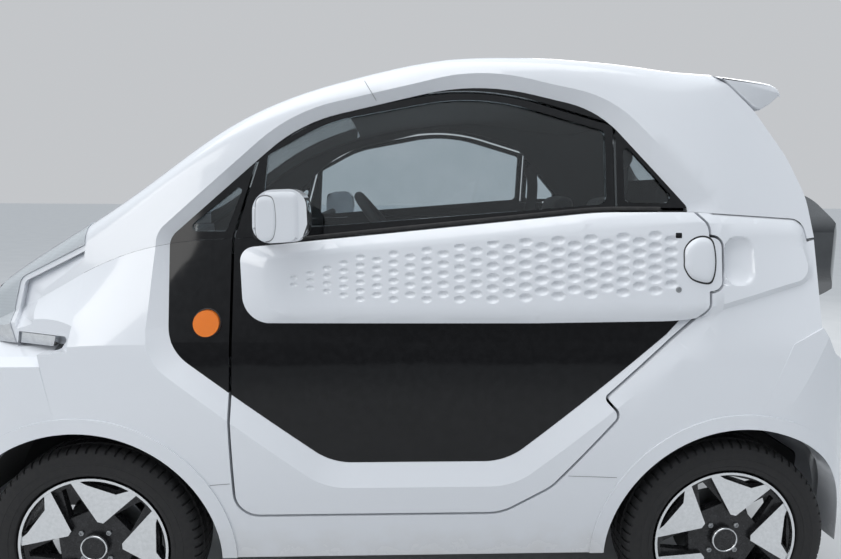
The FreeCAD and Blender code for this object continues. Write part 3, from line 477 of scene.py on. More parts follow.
def turned_faces(steps, count, closed):
    """Faces between profiles that stand in a circle; closed joins the profile's own ends."""
    faces = []
    for i in range(steps):
        after = (i + 1) % steps
        for k in range(count if closed else count - 1):
            j = (k + 1) % count
            faces.append((i * count + k, i * count + j, after * count + j, after * count + k))
    return faces


def sweep(path, section, up):
    """A section carried along a path; its pairs lie across and along up."""
    points = []
    for i, place in enumerate(path):
        along = (path[min(i + 1, len(path) - 1)] - path[max(i - 1, 0)]).normalized()
        across = along.cross(Vector(up)).normalized()
        top = across.cross(along).normalized()
        points.extend(place + across * u + top * v for u, v in section)
    return points, tube_faces(len(path), len(section))


def round_section(wide, high, steps):
    angles = [math.tau * i / steps for i in range(steps)]
    return [(wide / 2 * math.cos(a), high / 2 * math.sin(a)) for a in angles]


def lathe(profile, steps, centre, side, closed=False):
    """A profile of (offset outwards, radius) pairs turned about a wheel's axis."""
    points = []
    for i in range(steps):
        angle = math.tau * i / steps
        points.extend(Vector((centre[0] + r * math.cos(angle), centre[1] + side * w,
                              centre[2] + r * math.sin(angle))) for w, r in profile)
    return points, turned_faces(steps, len(profile), closed)


# Skins that carry dimples or a dish: a patch of the CAD skin is cut out and a pressed one set in
def at(span, t):
    """A value that runs from the first to the second of a pair."""
    return span[0] + (span[1] - span[0]) * t


def cut_patch(work, tree, side, x0, x1, low, high):
    """Cut the zone's outline into the skin and take out the faces inside it."""
    cuts = (((x0, 0, 0), (1, 0, 0)), ((x1, 0, 0), (1, 0, 0)),
            ((x0, 0, low[0]), (low[0] - low[1], 0, x1 - x0)),
            ((x0, 0, high[0]), (high[0] - high[1], 0, x1 - x0)))
    for place, normal in cuts:
        near = [f for f in work.faces if f.calc_center_median().y * side > 0]
        geom = list({g for f in near for g in (*f.verts, *f.edges)}) + near
        bmesh.ops.bisect_plane(work, geom=geom, dist=1e-6, plane_co=place,
                               plane_no=Vector(normal).normalized())
    gone = []
    for face in work.faces:
        c = face.calc_center_median()
        t = (c.x - x0) / (x1 - x0)
        if (0 < t < 1 and at(low, t) < c.z < at(high, t) and face.normal.y * side > OUTWARD
                and abs(skin_y(tree, side, c.x, c.z) - c.y) < ON_SKIN):
            gone.append(face)
    bmesh.ops.delete(work, geom=gone, context="FACES")


def pressed_skin(name, node, body, zones, spacing):
    """A painted copy of a node's skin with pressed patches.

    A zone is its side, x span, lower and upper z at both ends, and depth at a place.
    """
    tree = tree_from(node)
    work = welded_copy(node)
    for side, x0, x1, low, high, depth_at in zones:
        cut_patch(work, tree, side, x0, x1, low, high)
        wide = round((x1 - x0) / spacing)
        tall = round(max(high[0] - low[0], high[1] - low[1]) / spacing)
        rows = []
        for i in range(wide + 1):
            x = at((x0, x1), i / wide)
            bottom = at(low, i / wide)
            top = at(high, i / wide)
            row = []
            for j in range(tall + 1):
                z = bottom + (top - bottom) * j / tall
                edge = i in (0, wide) or j in (0, tall)
                inward = 0 if edge else depth_at(x, z)
                row.append(work.verts.new((x, skin_y(tree, side, x, z) - side * inward, z)))
            rows.append(row)
        for a, b in zip(rows, rows[1:]):
            for j in range(tall):
                loop = (a[j], b[j], b[j + 1], a[j + 1])
                work.faces.new(loop if side < 0 else loop[::-1])
    set_in(name, work, ("paint",), body, node, 38.0)


# The band's dimples stand in columns that grow and rise towards the rear
DIMPLE_COLUMNS = 24
DIMPLE_X = -0.304
DIMPLE_STEP = 0.0409
DIMPLE_Z = 0.986
DIMPLE_RISE = 0.00218
DIMPLE_START = 0.017
DIMPLE_DEEP = 0.42
FULL_FROM = 4
DISH_MIDDLE = (0.8195, 1.038)
DISH_HALF = (0.0425, 0.0590)
DISH_DEEP = 0.017


def dimple_field():
    """The places and half sizes of the dimples by column."""
    columns = []
    for n in range(DIMPLE_COLUMNS):
        count = n + 2 if n < FULL_FROM else 6 - n % 2
        pitch = DIMPLE_START + 0.00087 * min(n, 12)
        wide = DIMPLE_START + 0.0011 * min(n, 15)
        x = DIMPLE_X + DIMPLE_STEP * n
        middle = DIMPLE_Z + DIMPLE_RISE * n
        columns.append([(x, middle + (k - (count - 1) / 2) * pitch, wide / 2, wide * 0.31)
                        for k in range(count)])
    return columns


DIMPLES = dimple_field()


def dimple_depth(x, z):
    """How far the skin is pressed in at a place."""
    n = round((x - DIMPLE_X) / DIMPLE_STEP)
    if not 0 <= n < DIMPLE_COLUMNS:
        return 0.0
    for cx, cz, half_x, half_z in DIMPLES[n]:
        u = (x - cx) / half_x
        v = (z - cz) / half_z
        far = u * u + v * v
        if far < 1:
            return DIMPLE_DEEP * half_x * (1 - far) ** 0.6 * (1 + 0.35 * v)
    return 0.0


def dish_depth(x, z):
    """The finger dish behind the door handle."""
    u = (x - DISH_MIDDLE[0]) / DISH_HALF[0]
    v = (z - DISH_MIDDLE[1]) / DISH_HALF[1]
    far = abs(u) ** 3 + abs(v) ** 3
    return 0.0 if far >= 1 else DISH_DEEP * (1 - far) ** 0.55 * (1 - 0.35 * u)


for side_name, side in SIDES:
    door = f"door_{side_name}"
    pressed_skin(f"dimpled_band_{side_name}", f"{door}_band", door,
                 [(side, -0.336, 0.658, (0.925, 0.940), (1.040, 1.130), dimple_depth)], 0.0026)
pressed_skin("dished_quarters", "quarters", "body",
             [(side, 0.776, 0.870, (0.976, 0.976), (1.100, 1.100), dish_depth)
              for _, side in SIDES], 0.004)

# Door handle: a domed D on the band's rear end, with a dark sheet of painted shade round it for
# the gap's shadow, a key lock and a sensor window
HANDLE = [(0.671, 1.040), (0.673, 1.069), (0.693, 1.091), (0.722, 1.098), (0.745, 1.085),
          (0.752, 1.040), (0.746, 1.000), (0.731, 0.985), (0.692, 0.995), (0.673, 1.020)]
SENSOR = [(0.648, 1.098), (0.648, 1.107), (0.650, 1.109), (0.662, 1.109), (0.664, 1.107),
          (0.664, 1.098), (0.662, 1.096), (0.650, 1.096)]
LOCK = (0.655, 0.968)
FLAT = (3, 30)  # rings and power of a cap with a flat top
DOME = 1 / 2.2


def domed_cap(name, outline, proud, finish, body, tree, side, lift=0.0, rings=9, power=5):
    """A rounded cap that follows the skin below it."""
    around = closed_curve(outline, 6)
    middle = middle_of(around)
    points = []
    for ring in range(rings + 1):
        t = 1 - ring / rings
        high = lift + proud * (1 - t ** power) ** DOME
        for p in around:
            q = middle + (p - middle) * t
            points.append((q.x, skin_y(tree, side, q.x, q.y) + side * high, q.y))
    piece(name, (points, tube_faces(rings + 1, len(around), False)), finish, body, 50)


def round_stud(name, x, z, radius, proud, finish, body, tree, side):
    """A small round part standing on the skin, dished in its middle."""
    profile = [(-0.001, radius), (proud * 0.6, radius), (proud, radius * 0.86),
               (proud, radius * 0.62), (proud * 0.7, radius * 0.58), (proud * 0.75, 0.0)]
    piece(name, lathe(profile, 28, (x, skin_y(tree, side, x, z), z), side), finish, body)


for side_name, side in SIDES:
    door = f"door_{side_name}"
    band = tree_from(f"{door}_band")
    # Painted shade: a thin dark rubber sheet laid on the skin round the handle stands for the
    # gap's shadow
    domed_cap(f"handle_gap_shade_{side_name}", wider(HANDLE, 1.075), 0.0006, "rubber", door, band, side,
              0.0003, *FLAT)
    domed_cap(f"door_handle_{side_name}", HANDLE, 0.0095, "paint", door, band, side)
    round_stud(f"door_lock_{side_name}", *LOCK, 0.0075, 0.002, "cast", door, band, side)
    domed_cap(f"handle_sensor_{side_name}", SENSOR, 0.0008, "gloss_black", door, band, side,
              0.0002, *FLAT)


# Roof: the CAD roof's run is evened out above the side windows
ROOF_LIFT = [(-0.20, 0.0), (-0.075, 0.004), (0.08, 0.010), (0.25, 0.008), (0.42, 0.0105),
             (0.52, 0.015), (0.60, 0.0165), (0.66, 0.0135), (0.72, 0.006), (0.75, 0.0),
             (0.78, -0.007), (0.80, -0.009), (0.86, 0.0)]
ROOF_RAIL_Y = 0.545
LIFT_LOW, LIFT_HIGH = 1.478, 1.528
CROWN_EASE = 0.007
CROWN_FROM_X, CROWN_RUN = -0.10, 0.18
LONG_EDGE = 0.05
CABIN_MIDDLE = Vector((0.1, 0.0, 0.9))
LINED_SIDE, LINED_TOP = -0.15, -0.6
STRAY_BEYOND_X = 1.1


def table_at(table, x):
    """A value read off a table, straight between its rows."""
    if x <= table[0][0]:
        return table[0][1]
    for (xa, a), (xb, b) in zip(table, table[1:]):
        if x <= xb:
            t = (x - xa) / (xb - xa)
            return a + (b - a) * t
    return table[-1][1]


def clamp(t):
    return min(1.0, max(0.0, t))


def lining(polygon):
    """1 for a face of the roof that looks into the cabin."""
    normal = polygon.normal
    inward = normal.dot(polygon.center - CABIN_MIDDLE) < 0
    return int(inward and (normal.y * polygon.center.y < LINED_SIDE or normal.z < LINED_TOP))


def evened_roof():
    """The roof shell lifted or lowered to one smooth run, lined on its inside."""
    work = welded_copy("roof_shell")
    long = [e for e in work.edges
            if e.calc_length() > LONG_EDGE and max(v.co.z for v in e.verts) > LIFT_LOW]
    bmesh.ops.subdivide_edges(work, edges=long, cuts=2)
    for vert in work.verts:
        x, y, z = vert.co
        t = clamp((z - LIFT_LOW) / (LIFT_HIGH - LIFT_LOW))
        inner = max(0.0, 1 - (y / ROOF_RAIL_Y) ** 2)
        behind = clamp((x - CROWN_FROM_X) / CROWN_RUN)
        lift = table_at(ROOF_LIFT, x) - CROWN_EASE * inner * behind
        vert.co.z += lift * t * t * (3 - 2 * t)
    set_in("roof_skin", work, ("paint", "liner"), "body", "roof_shell", 32.0, lining)


def clean_liners():
    """The arch liners without the loose strips that lie outside the bumpers' corners."""
    work = welded_copy("arch_liners")
    left = set(work.verts)
    while left:
        island = {left.pop()}
        front = set(island)
        while front:
            front = {e.other_vert(v) for v in front for e in v.link_edges} - island
            island |= front
        left -= island
        if min(abs(v.co.x) for v in island) > STRAY_BEYOND_X:
            bmesh.ops.delete(work, geom=list(island), context="VERTS")
    set_in("wheel_arch_liners", work, ("liner",), "body", "arch_liners", 35.0)


evened_roof()
clean_liners()

# Roof spoiler: a thin wing that carries the roof's line back, with rounded ends
WING_TOP = [(0.788, 1.5262), (0.800, 1.5255), (0.820, 1.5235), (0.850, 1.520), (0.880, 1.5165),
            (0.910, 1.5125), (0.932, 1.508), (0.948, 1.500), (0.957, 1.490), (0.961, 1.478)]
WING_LOW = [(0.958, 1.466), (0.948, 1.456), (0.930, 1.440), (0.908, 1.427), (0.888, 1.433),
            (0.860, 1.455), (0.825, 1.484), (0.794, 1.510)]
WING_DROP = [(0.0, 0.0), (0.30, 0.002), (0.42, 0.004), (0.50, 0.006), (0.545, 0.009),
             (0.565, 0.013), (0.583, 0.019)]
WING_HALVES = [0.0, 0.08, 0.16, 0.24, 0.30, 0.36, 0.42, 0.46, 0.50, 0.525, 0.545, 0.560, 0.570,
               0.576, 0.580, 0.582]
WING_X, WING_Z = 0.880, 1.475
TIP_FROM_Y, TIP_RUN, TIP_SHRINK = 0.570, 0.012, 0.085


def wing():
    """The spoiler's profile carried across, drawn in a little at both ends."""
    across = [-y for y in WING_HALVES[:0:-1]] + WING_HALVES
    points = []
    for y in across:
        drop = table_at(WING_DROP, abs(y))
        tuck = max(0.0, abs(y) - TIP_FROM_Y) / TIP_RUN
        shrink = 1 - TIP_SHRINK * (1 - math.sqrt(max(0.0, 1 - tuck * tuck)))
        for x, z in [(x, z - drop) for x, z in WING_TOP] + WING_LOW:
            points.append((WING_X + (x - WING_X) * shrink, y, WING_Z + (z - WING_Z) * shrink))
    faces = tube_faces(len(across), len(WING_TOP) + len(WING_LOW))
    piece("roof_wing", (points, faces), "paint", "tailgate", 40, ("tailgate_spoiler",))


wing()

# Tyres: grooved tread with cut shoulders and fine rings on the walls, as pairs of (offset from
# the tyre's middle, radius)
TYRE_MIDDLE = 0.6215
TYRE_PROFILE = [(-0.0660, 0.1985), (-0.0700, 0.2010), (-0.0728, 0.2070), (-0.0738, 0.2130),
                (-0.0731, 0.2140), (-0.0740, 0.2150), (-0.0752, 0.2240), (-0.0755, 0.2340),
                (-0.0747, 0.2352), (-0.0753, 0.2364), (-0.0742, 0.2460), (-0.0722, 0.2550),
                (-0.0700, 0.2610), (-0.0665, 0.2668), (-0.0610, 0.2712), (-0.0530, 0.2742),
                (-0.0400, 0.2757), (-0.0385, 0.2695), (-0.0315, 0.2695), (-0.0300, 0.2763),
                (-0.0060, 0.2768), (-0.0050, 0.2700), (0.0050, 0.2700), (0.0060, 0.2768)]
MIRRORED_FROM = 19
SHOULDER_CUTS = 68
CUT_WIDE = 0.26
CUT_FLANK = 0.02
CUT_DEEP = 0.0042
CUT_SLOPE = 0.25
SLOPE_BEYOND = 0.03
SHOULDER = (0.0395, 0.0690)
SHOULDER_ABOVE = 0.258
RIB = (0.0058, 0.0310)
RIB_DEEP = 0.0016


def cut_depth(far, radius):
    """How deep the cuts go at a place of the tyre's profile."""
    if SHOULDER[0] < far < SHOULDER[1] and radius > SHOULDER_ABOVE:
        return CUT_DEEP
    return RIB_DEEP if RIB[0] < far < RIB[1] else 0.0


def tyre(name, place, side, body, stands_for):
    """The whole profile turned about the wheel, with the cuts pressed in."""
    profile = TYRE_PROFILE + [(-w, r) for w, r in TYRE_PROFILE[MIRRORED_FROM::-1]]
    points = []
    angles = []
    step = math.tau / SHOULDER_CUTS
    for cut in range(SHOULDER_CUTS):
        start = math.tau * cut / SHOULDER_CUTS
        angles.extend([(start, 0.0), (start + step * (1 - CUT_WIDE), 0.0),
                       (start + step * (1 + CUT_FLANK - CUT_WIDE), 1.0),
                       (start + step * (1 - CUT_FLANK), 1.0)])
    for angle, cut in angles:
        for w, r in profile:
            far = abs(w)
            turn = angle + (math.copysign(CUT_SLOPE * far, w) if far > SLOPE_BEYOND else 0.0)
            radius = r - cut_depth(far, r) * cut
            points.append((place[0] + radius * math.cos(turn), place[1] + side * w,
                           place[2] + radius * math.sin(turn)))
    shape = points, turned_faces(len(angles), len(profile), True)
    piece(name, shape, "tyre", body, 28, (stands_for,))


# Wheel middles: pairs of (offset outwards, radius)
HUB_CAP = [(-0.001, 0.0300), (0.0022, 0.0298), (0.0036, 0.0285), (0.0042, 0.0200),
           (0.0046, 0.0100), (0.0047, 0.0)]
HUB_RING = [(u, 0.0325 + v) for u, v in round_section(0.0044, 0.0044, 10)]
BOLT = [(-0.004, 0.0075), (0.0035, 0.0075), (0.0045, 0.0066), (0.0045, 0.0040), (0.0020, 0.0036),
        (0.0020, 0.0)]
BOLTS = 4
BOLT_CIRCLE = 0.050
HUB_SPOT = (0.015, 0.4)  # radius and angle of a place on the hub's flat
RIM_GUESS = 0.68
DISC = [(0.0, 0.062), (0.0, 0.108), (0.003, 0.110), (0.008, 0.110), (0.0095, 0.108),
        (0.0095, 0.066), (0.0115, 0.060), (0.0165, 0.056), (0.0165, 0.038), (0.0, 0.038)]
DISC_Y = 0.600


def hub_parts(at_wheel, x, side, body):
    """Cap with a bright ring, and wheel bolts, set on the rim's own face."""
    rim = tree_from(f"rim_{at_wheel}")

    def on_face(radius, angle):
        place = (x + radius * math.cos(angle), WHEEL_Z + radius * math.sin(angle))
        return place[0], skin_y(rim, side, *place, RIM_GUESS), place[1]

    hub = on_face(*HUB_SPOT)[1]
    cap = lathe(HUB_CAP, 40, (x, hub, WHEEL_Z), side)
    piece(f"hub_cap_{at_wheel}", cap, "wheel_black", body)
    ring = lathe(HUB_RING, 48, (x, hub + side * 0.002, WHEEL_Z), side, True)
    piece(f"hub_ring_{at_wheel}", ring, "machined", body)
    for k in range(BOLTS):
        bolt = lathe(BOLT, 6, on_face(BOLT_CIRCLE, math.tau * (k + 0.5) / BOLTS), side)
        piece(f"wheel_bolt_{at_wheel}_{k}", bolt, "cast", body)


for end, side_name, ahead, side, wheel in CORNERS:
    x = ahead * AXLE
    at_wheel = f"{end}_{side_name}"
    disc = lathe(DISC, 56, (x, side * DISC_Y, WHEEL_Z), side, True)
    piece(f"brake_disc_{at_wheel}", disc, "cast", wheel, 30)
    tyre(f"treaded_tyre_{at_wheel}", (x, side * TYRE_MIDDLE, WHEEL_Z), side, wheel,
         f"tyre_{at_wheel}")
    hub_parts(at_wheel, x, side, wheel)

# Window seals, panel joints and bezels follow the skin; places are (x, z) from the side
BELT_LINE = [(-0.36, 1.079), (-0.215, 1.096), (0.0, 1.119), (0.25, 1.145), (0.46, 1.1655),
             (0.62, 1.168)]
JOINTS = (("sill_rear", [(0.357, 0.49), (0.432, 0.487), (0.515, 0.483)], ("quarters", "sills")),
          ("sill_front", [(-0.519, 0.472), (-0.48, 0.475), (-0.44, 0.477)], ("fenders", "sills")),
          ("rail", [(-0.134, 1.486), (-0.122, 1.465), (-0.104, 1.436)], ("roof_shell",)))
INDICATOR = (-0.524, 0.878)
INDICATOR_RADIUS = 0.0335
STRIP_GUESS = 0.66


def seal(name, places, finish, body, names, side, wide, high, up=(0, 0, 1), lift=0.0015):
    """A strip through side-view places, laid on the skin of the named nodes."""
    tree = tree_from(*names)
    path = [Vector((x, skin_y(tree, side, x, z, STRIP_GUESS) + side * lift, z))
            for x, z in open_curve(places)]
    piece(name, sweep(path, round_section(high, wide, 8), up), finish, body, 60)


for side_name, side in SIDES:
    door = f"door_{side_name}"
    seal(f"belt_strip_{side_name}", BELT_LINE, "rubber", door,
         (f"{door}_band", f"{door}_panel", f"{door}_glass"), side, 0.010, 0.006)
for side_name, side in SIDES:
    for part, places, names in JOINTS:
        seal(f"joint_{part}_{side_name}", places, "trim_grey", "body", names, side,
             0.0024, 0.0012, (0, 1, 0), 0.0001)

# Mirrors: the glass in the rear face with a thin dark frame; places are (y, z) from behind
MIRROR_GLASS = [(0.735, 1.100), (0.750, 1.092), (0.785, 1.096), (0.797, 1.112), (0.798, 1.170),
                (0.787, 1.188), (0.752, 1.192), (0.738, 1.180), (0.733, 1.140)]
MIRROR_LAYERS = (("frame", 1.0, 0.0015, "plastic"), ("glass", 0.88, 0.0026, "mirror"))
MIRROR_RINGS = 3
MIRROR_FACE_X = -0.257
for side_name, side in SIDES:
    shell = tree_from(f"mirror_{side_name}")
    for part, grow, proud, finish in MIRROR_LAYERS:
        around = closed_curve(wider(MIRROR_GLASS, grow), 5)
        middle = middle_of(around)
        points = []
        for ring in range(MIRROR_RINGS + 1):
            t = 1 - ring / MIRROR_RINGS * 0.999
            for p in around:
                q = middle + (p - middle) * t
                x = hit_by(shell, (0.2, side * q.x, q.y), (-1, 0, 0), 0, MIRROR_FACE_X)
                points.append((x + (proud if ring else 0.0), side * q.x, q.y))
        faces = tube_faces(MIRROR_RINGS + 1, len(around), False)
        piece(f"mirror_{part}_{side_name}", (points, faces), finish, f"door_{side_name}", 60)

# Mirror bodies: a rounded housing with a raised front panel; places are (x, z) from the side
MIRROR_HOUSING = [(-0.376, 1.180), (-0.366, 1.198), (-0.330, 1.203), (-0.288, 1.203),
                  (-0.277, 1.190), (-0.275, 1.140), (-0.276, 1.100), (-0.288, 1.086),
                  (-0.330, 1.081), (-0.364, 1.082), (-0.377, 1.104), (-0.379, 1.140)]
MIRROR_PANEL = [(-0.370, 1.172), (-0.362, 1.190), (-0.342, 1.193), (-0.330, 1.182),
                (-0.326, 1.140), (-0.331, 1.104), (-0.344, 1.092), (-0.361, 1.094),
                (-0.371, 1.112)]
MIRROR_SET_BACK = 0.0075
PANEL_SET_BACK = 0.0030
MIRROR_EASE = (0.76, 0.80)


def mirror_body(side_name):
    """The CAD mirror with its outer face set back by what the caps stand proud."""
    name = f"mirror_body_{side_name}"
    mesh = nodes[f"mirror_{side_name}"].data.copy()
    mesh.name = name
    for vert in mesh.vertices:
        t = (abs(vert.co.y) - MIRROR_EASE[0]) / (MIRROR_EASE[1] - MIRROR_EASE[0])
        vert.co.y -= math.copysign(MIRROR_SET_BACK * clamp(t), vert.co.y)
    mesh.materials.clear()
    settle(name, mesh, ("paint", "plastic"), f"door_{side_name}", (f"mirror_{side_name}",),
           mirror_slot)


for side_name, side in SIDES:
    mirror_body(side_name)
    door = f"door_{side_name}"
    shell = tree_from(f"mirror_{side_name}")
    domed_cap(f"mirror_cap_{side_name}", MIRROR_HOUSING, 0.0045, "paint", door, shell, side,
              -MIRROR_SET_BACK, 9, 9)
    domed_cap(f"mirror_panel_gap_{side_name}", wider(MIRROR_PANEL, 1.05), 0.0006, "trim_grey",
              door, shell, side, -PANEL_SET_BACK, *FLAT)
    domed_cap(f"mirror_panel_{side_name}", MIRROR_PANEL, 0.0028, "paint", door, shell, side,
              -PANEL_SET_BACK, 8, 7)

# Side indicators sit in a dark bezel
for side_name, side in SIDES:
    turns = [math.tau * i / 24 for i in range(25)]
    around = [(INDICATOR[0] + INDICATOR_RADIUS * math.cos(a),
               INDICATOR[1] + INDICATOR_RADIUS * math.sin(a)) for a in turns]
    seal(f"indicator_bezel_{side_name}", around, "plastic", "body",
         ("side_inserts", "front_lamps"), side, 0.005, 0.004, (0, 1, 0), 0.0005)

# Rounded slabs facing back: the blank number plate and what stands on the dashboard
SLAB_CORNER = 5
SLAB_ROUND = 0.010
SLAB_EDGE = 0.003
SLAB_BEVEL = 0.4
SLAB_MIDDLE = 0.001
PLATE = (1.2385, 0.0, 0.520)
PLATE_STUDS = (("left", -0.161), ("right", 0.161))
DISPLAYS = (("dash_display", -0.300, 1.035, 0.085, 0.040),
            ("middle_display", 0.030, 0.985, 0.105, 0.060))
VENT_Y, VENT_Z = 0.500, 0.980
VENT_SLATS = 4
SLAT_Z, SLAT_STEP = 0.9605, 0.013
BEHIND_DASH_X, DASH_FACE_X = 0.3, -0.25


def slab(name, centre, half, tall, deep, finish, rim=0.0):
    """A slab with rounded corners and a bevelled face; rim raises the face's edge."""
    bevel = deep * SLAB_BEVEL
    edge = bevel + SLAB_EDGE
    loops = [(half, tall, 0.0), (half, tall, deep - bevel),
             (half - bevel, tall - bevel, deep + rim), (half - edge, tall - edge, deep),
             (SLAB_MIDDLE, SLAB_MIDDLE, deep)]
    points = []
    for wide, high, out in loops:
        radius = min(SLAB_ROUND, wide * 0.9, high * 0.9)
        for k, (sy, sz) in enumerate(((1, 1), (-1, 1), (-1, -1), (1, -1))):
            for i in range(SLAB_CORNER + 1):
                a = math.pi / 2 * (k + i / SLAB_CORNER)
                points.append((centre[0] + out,
                               centre[1] + sy * (wide - radius) + radius * math.cos(a),
                               centre[2] + sz * (high - radius) + radius * math.sin(a)))
    faces = tube_faces(len(loops), 4 * (SLAB_CORNER + 1))
    piece(name, (points, faces), finish, "body", 30)


slab("rear_plate", PLATE, 0.260, 0.055, 0.0016, "plate", 0.0010)
for side_name, y in PLATE_STUDS:
    slab(f"rear_plate_stud_{side_name}", (1.2400, y, PLATE[2]), 0.0060, 0.0060, 0.0026, "cast")

dash = tree_from("dashboard")


def dash_x(y, z):
    return hit_by(dash, (BEHIND_DASH_X, y, z), (-1, 0, 0), 0, DASH_FACE_X)


# Dashboard: a display behind the wheel, one in the middle, and slatted vents
for name, y, z, half, tall in DISPLAYS:
    x = max(dash_x(y + dy, z + dz) for dy in (-half, half) for dz in (-tall, tall)) + 0.002
    slab(f"{name}_frame", (x, y, z), half, tall, 0.014, "plastic")
    slab(f"{name}_glass", (x + 0.014, y, z), half - 0.008, tall - 0.008, 0.0015, "gloss_black")
for side_name, side in SIDES:
    y = side * VENT_Y
    x = max(dash_x(y - 0.04, 1.000), dash_x(y + 0.03, 0.960)) + 0.001
    slab(f"vent_frame_{side_name}", (x, y, VENT_Z), 0.046, 0.034, 0.006, "gloss_black")
    for k in range(VENT_SLATS):
        slab(f"vent_slat_{side_name}_{k}", (x + 0.006, y, SLAT_Z + SLAT_STEP * k), 0.040,
             0.0022, 0.0045, "trim_grey")

# Front lamps: a bright bezel round each lens and a dark projector ring inside it
LAMP_RINGS = (("bezel", 0.0345, 0.0395, 0.0022, "silver"),
              ("projector", 0.0150, 0.0215, 0.0012, "gloss_black"))
RING_STEPS = 40
RING_FLANK = 0.15


def ring_on_nose(name, y0, z0, inner, outer, proud, finish, tree):
    """A flat-topped ring that follows the nose."""
    points = []
    flank = (outer - inner) * RING_FLANK
    loops = [(inner, 0.0), (inner + flank, proud), (outer - flank, proud), (outer, 0.0)]
    for i in range(RING_STEPS):
        angle = math.tau * i / RING_STEPS
        for radius, lift in loops:
            y = y0 + radius * math.cos(angle)
            z = z0 + radius * math.sin(angle)
            points.append((hit_by(tree, (-2, y, z), (1, 0, 0), 0) - lift, y, z))
    shape = points, turned_faces(RING_STEPS, len(loops), False)
    piece(name, shape, finish, "body", 50)


nose = tree_from("front_lamps", "front_mask")
for side_name, side in SIDES:
    for k, (y, z) in enumerate(ROUND_LENSES):
        for part, inner, outer, proud, finish in LAMP_RINGS:
            ring_on_nose(f"lamp_{part}_{side_name}_{k}", side * y, z, inner, outer, proud,
                         finish, nose)

# Wiper on the windscreen; places are (x, y) from above
WIPER_ARM = [(-0.835, -0.10), (-0.80, -0.04), (-0.770, 0.020)]
WIPER_BLADE = [(-0.812, -0.280), (-0.790, -0.140), (-0.770, 0.020), (-0.762, 0.160),
               (-0.765, 0.270)]
BLADE_SECTION = [(-0.0012, -0.005), (0.0012, -0.005), (0.0015, 0.0), (0.007, 0.002),
                 (0.006, 0.006), (-0.006, 0.006), (-0.007, 0.002), (-0.0015, 0.0)]


def wiper_part(name, places, per_side, above, section, finish, angle):
    path = [Vector((x, y, hit_by(screen, (x, y, 2.0), (0, 0, -1), 2, 1.1) + above))
            for x, y in open_curve(places, per_side)]
    piece(name, sweep(path, section, (0, 0, 1)), finish, "body", angle)


screen = tree_from("fixed_glass")
wiper_part("wiper_arm", WIPER_ARM, 6, 0.014, round_section(0.011, 0.007, 8), "plastic", 50)
wiper_part("wiper_blade", WIPER_BLADE, 8, 0.006, BLADE_SECTION, "rubber", 40)

# Seat belts hang from the door posts to the seat sides, from a guide above
BELT_RUN = [(0.545, 0.560, 1.300), (0.548, 0.548, 1.200), (0.520, 0.535, 1.000),
            (0.470, 0.560, 0.760), (0.440, 0.560, 0.520)]
WEBBING = [(-0.023, -0.0008), (0.023, -0.0008), (0.023, 0.0008), (-0.023, 0.0008)]
BELT_GUIDE = [(0.0, 0.030), (0.012, 0.030), (0.014, 0.024), (0.014, 0.012), (0.010, 0.0)]
for side_name, side in SIDES:
    path = [Vector((x, side * y, z)) for x, y, z in open_curve(BELT_RUN)]
    piece(f"seat_belt_{side_name}", sweep(path, WEBBING, (0, -side, 0)), "webbing", "body", 50)
    guide = lathe(BELT_GUIDE, 20, (0.545, side * 0.572, 1.300), -side)
    piece(f"belt_guide_{side_name}", guide, "plastic", "body", 40)

# Seats: crowned cushions made from closed forms, with seams between the panels; each part's
# outline from the side, its inner and outer y, and how far its faces swell
SEAT_PARTS = (("cushion", [(0.020, 0.440), (-0.004, 0.500), (0.002, 0.545), (0.060, 0.572),
                           (0.240, 0.562), (0.420, 0.545), (0.480, 0.505), (0.490, 0.445),
                           (0.300, 0.432)], 0.070, 0.540, 0.012),
              ("backrest", [(0.442, 0.560), (0.462, 0.700), (0.488, 0.850), (0.520, 1.000),
                            (0.560, 1.045), (0.618, 1.040), (0.622, 0.960), (0.590, 0.800),
                            (0.548, 0.610), (0.500, 0.520)], 0.080, 0.530, 0.012),
              ("headrest", [(0.556, 1.082), (0.560, 1.130), (0.572, 1.176), (0.604, 1.188),
                            (0.632, 1.176), (0.634, 1.120), (0.612, 1.078), (0.580, 1.070)],
               0.180, 0.430, 0.008))
SEAT_SPANS = [0.0, 0.02, 0.06, 0.13, 0.24, 0.37, 0.5, 0.63, 0.76, 0.87, 0.94, 0.98, 1.0]
SEAT_ROLL = 0.030
SEAMS = (0.2, 0.8)
SEAM_WIDE, SEAM_DEEP = 0.018, 0.008
POSTS_Y = (0.245, 0.365)
POST_RUN = ((0.590, 1.020), (0.596, 1.060), (0.602, 1.100))
BASE_Y = 0.305
BASE_RUN = ((0.06, 0.442), (0.25, 0.436), (0.46, 0.444))
BASE_SECTION = [(-0.205, -0.014), (0.205, -0.014), (0.212, 0.010), (-0.212, 0.010)]


def cushion(name, outline, y_low, y_high, side, crown):
    """A stuffed block: a side-view outline carried across, its faces swollen, its edges rolled."""
    around = closed_curve(outline, 5)
    middle = middle_of(around)
    points = []
    for t in SEAT_SPANS:
        edge = min(t, 1 - t) * (y_high - y_low)
        bend = (1 - min(1.0, edge / SEAT_ROLL)) ** 2
        tuck = SEAT_ROLL * (1 - math.sqrt(max(0.0, 1 - bend)))
        belly = crown * math.sin(math.pi * t) ** 0.7
        groove = sum(SEAM_DEEP * math.exp(-((t - seam) / SEAM_WIDE) ** 2) for seam in SEAMS)
        for p in around:
            out = p - middle
            far = out.length
            q = middle + out * ((far - tuck + belly - groove) / far)
            points.append((q.x, side * (y_low + (y_high - y_low) * t), q.y))
    faces = tube_faces(len(SEAT_SPANS), len(around))
    return piece(name, (points, faces), "fabric", "body", 60)


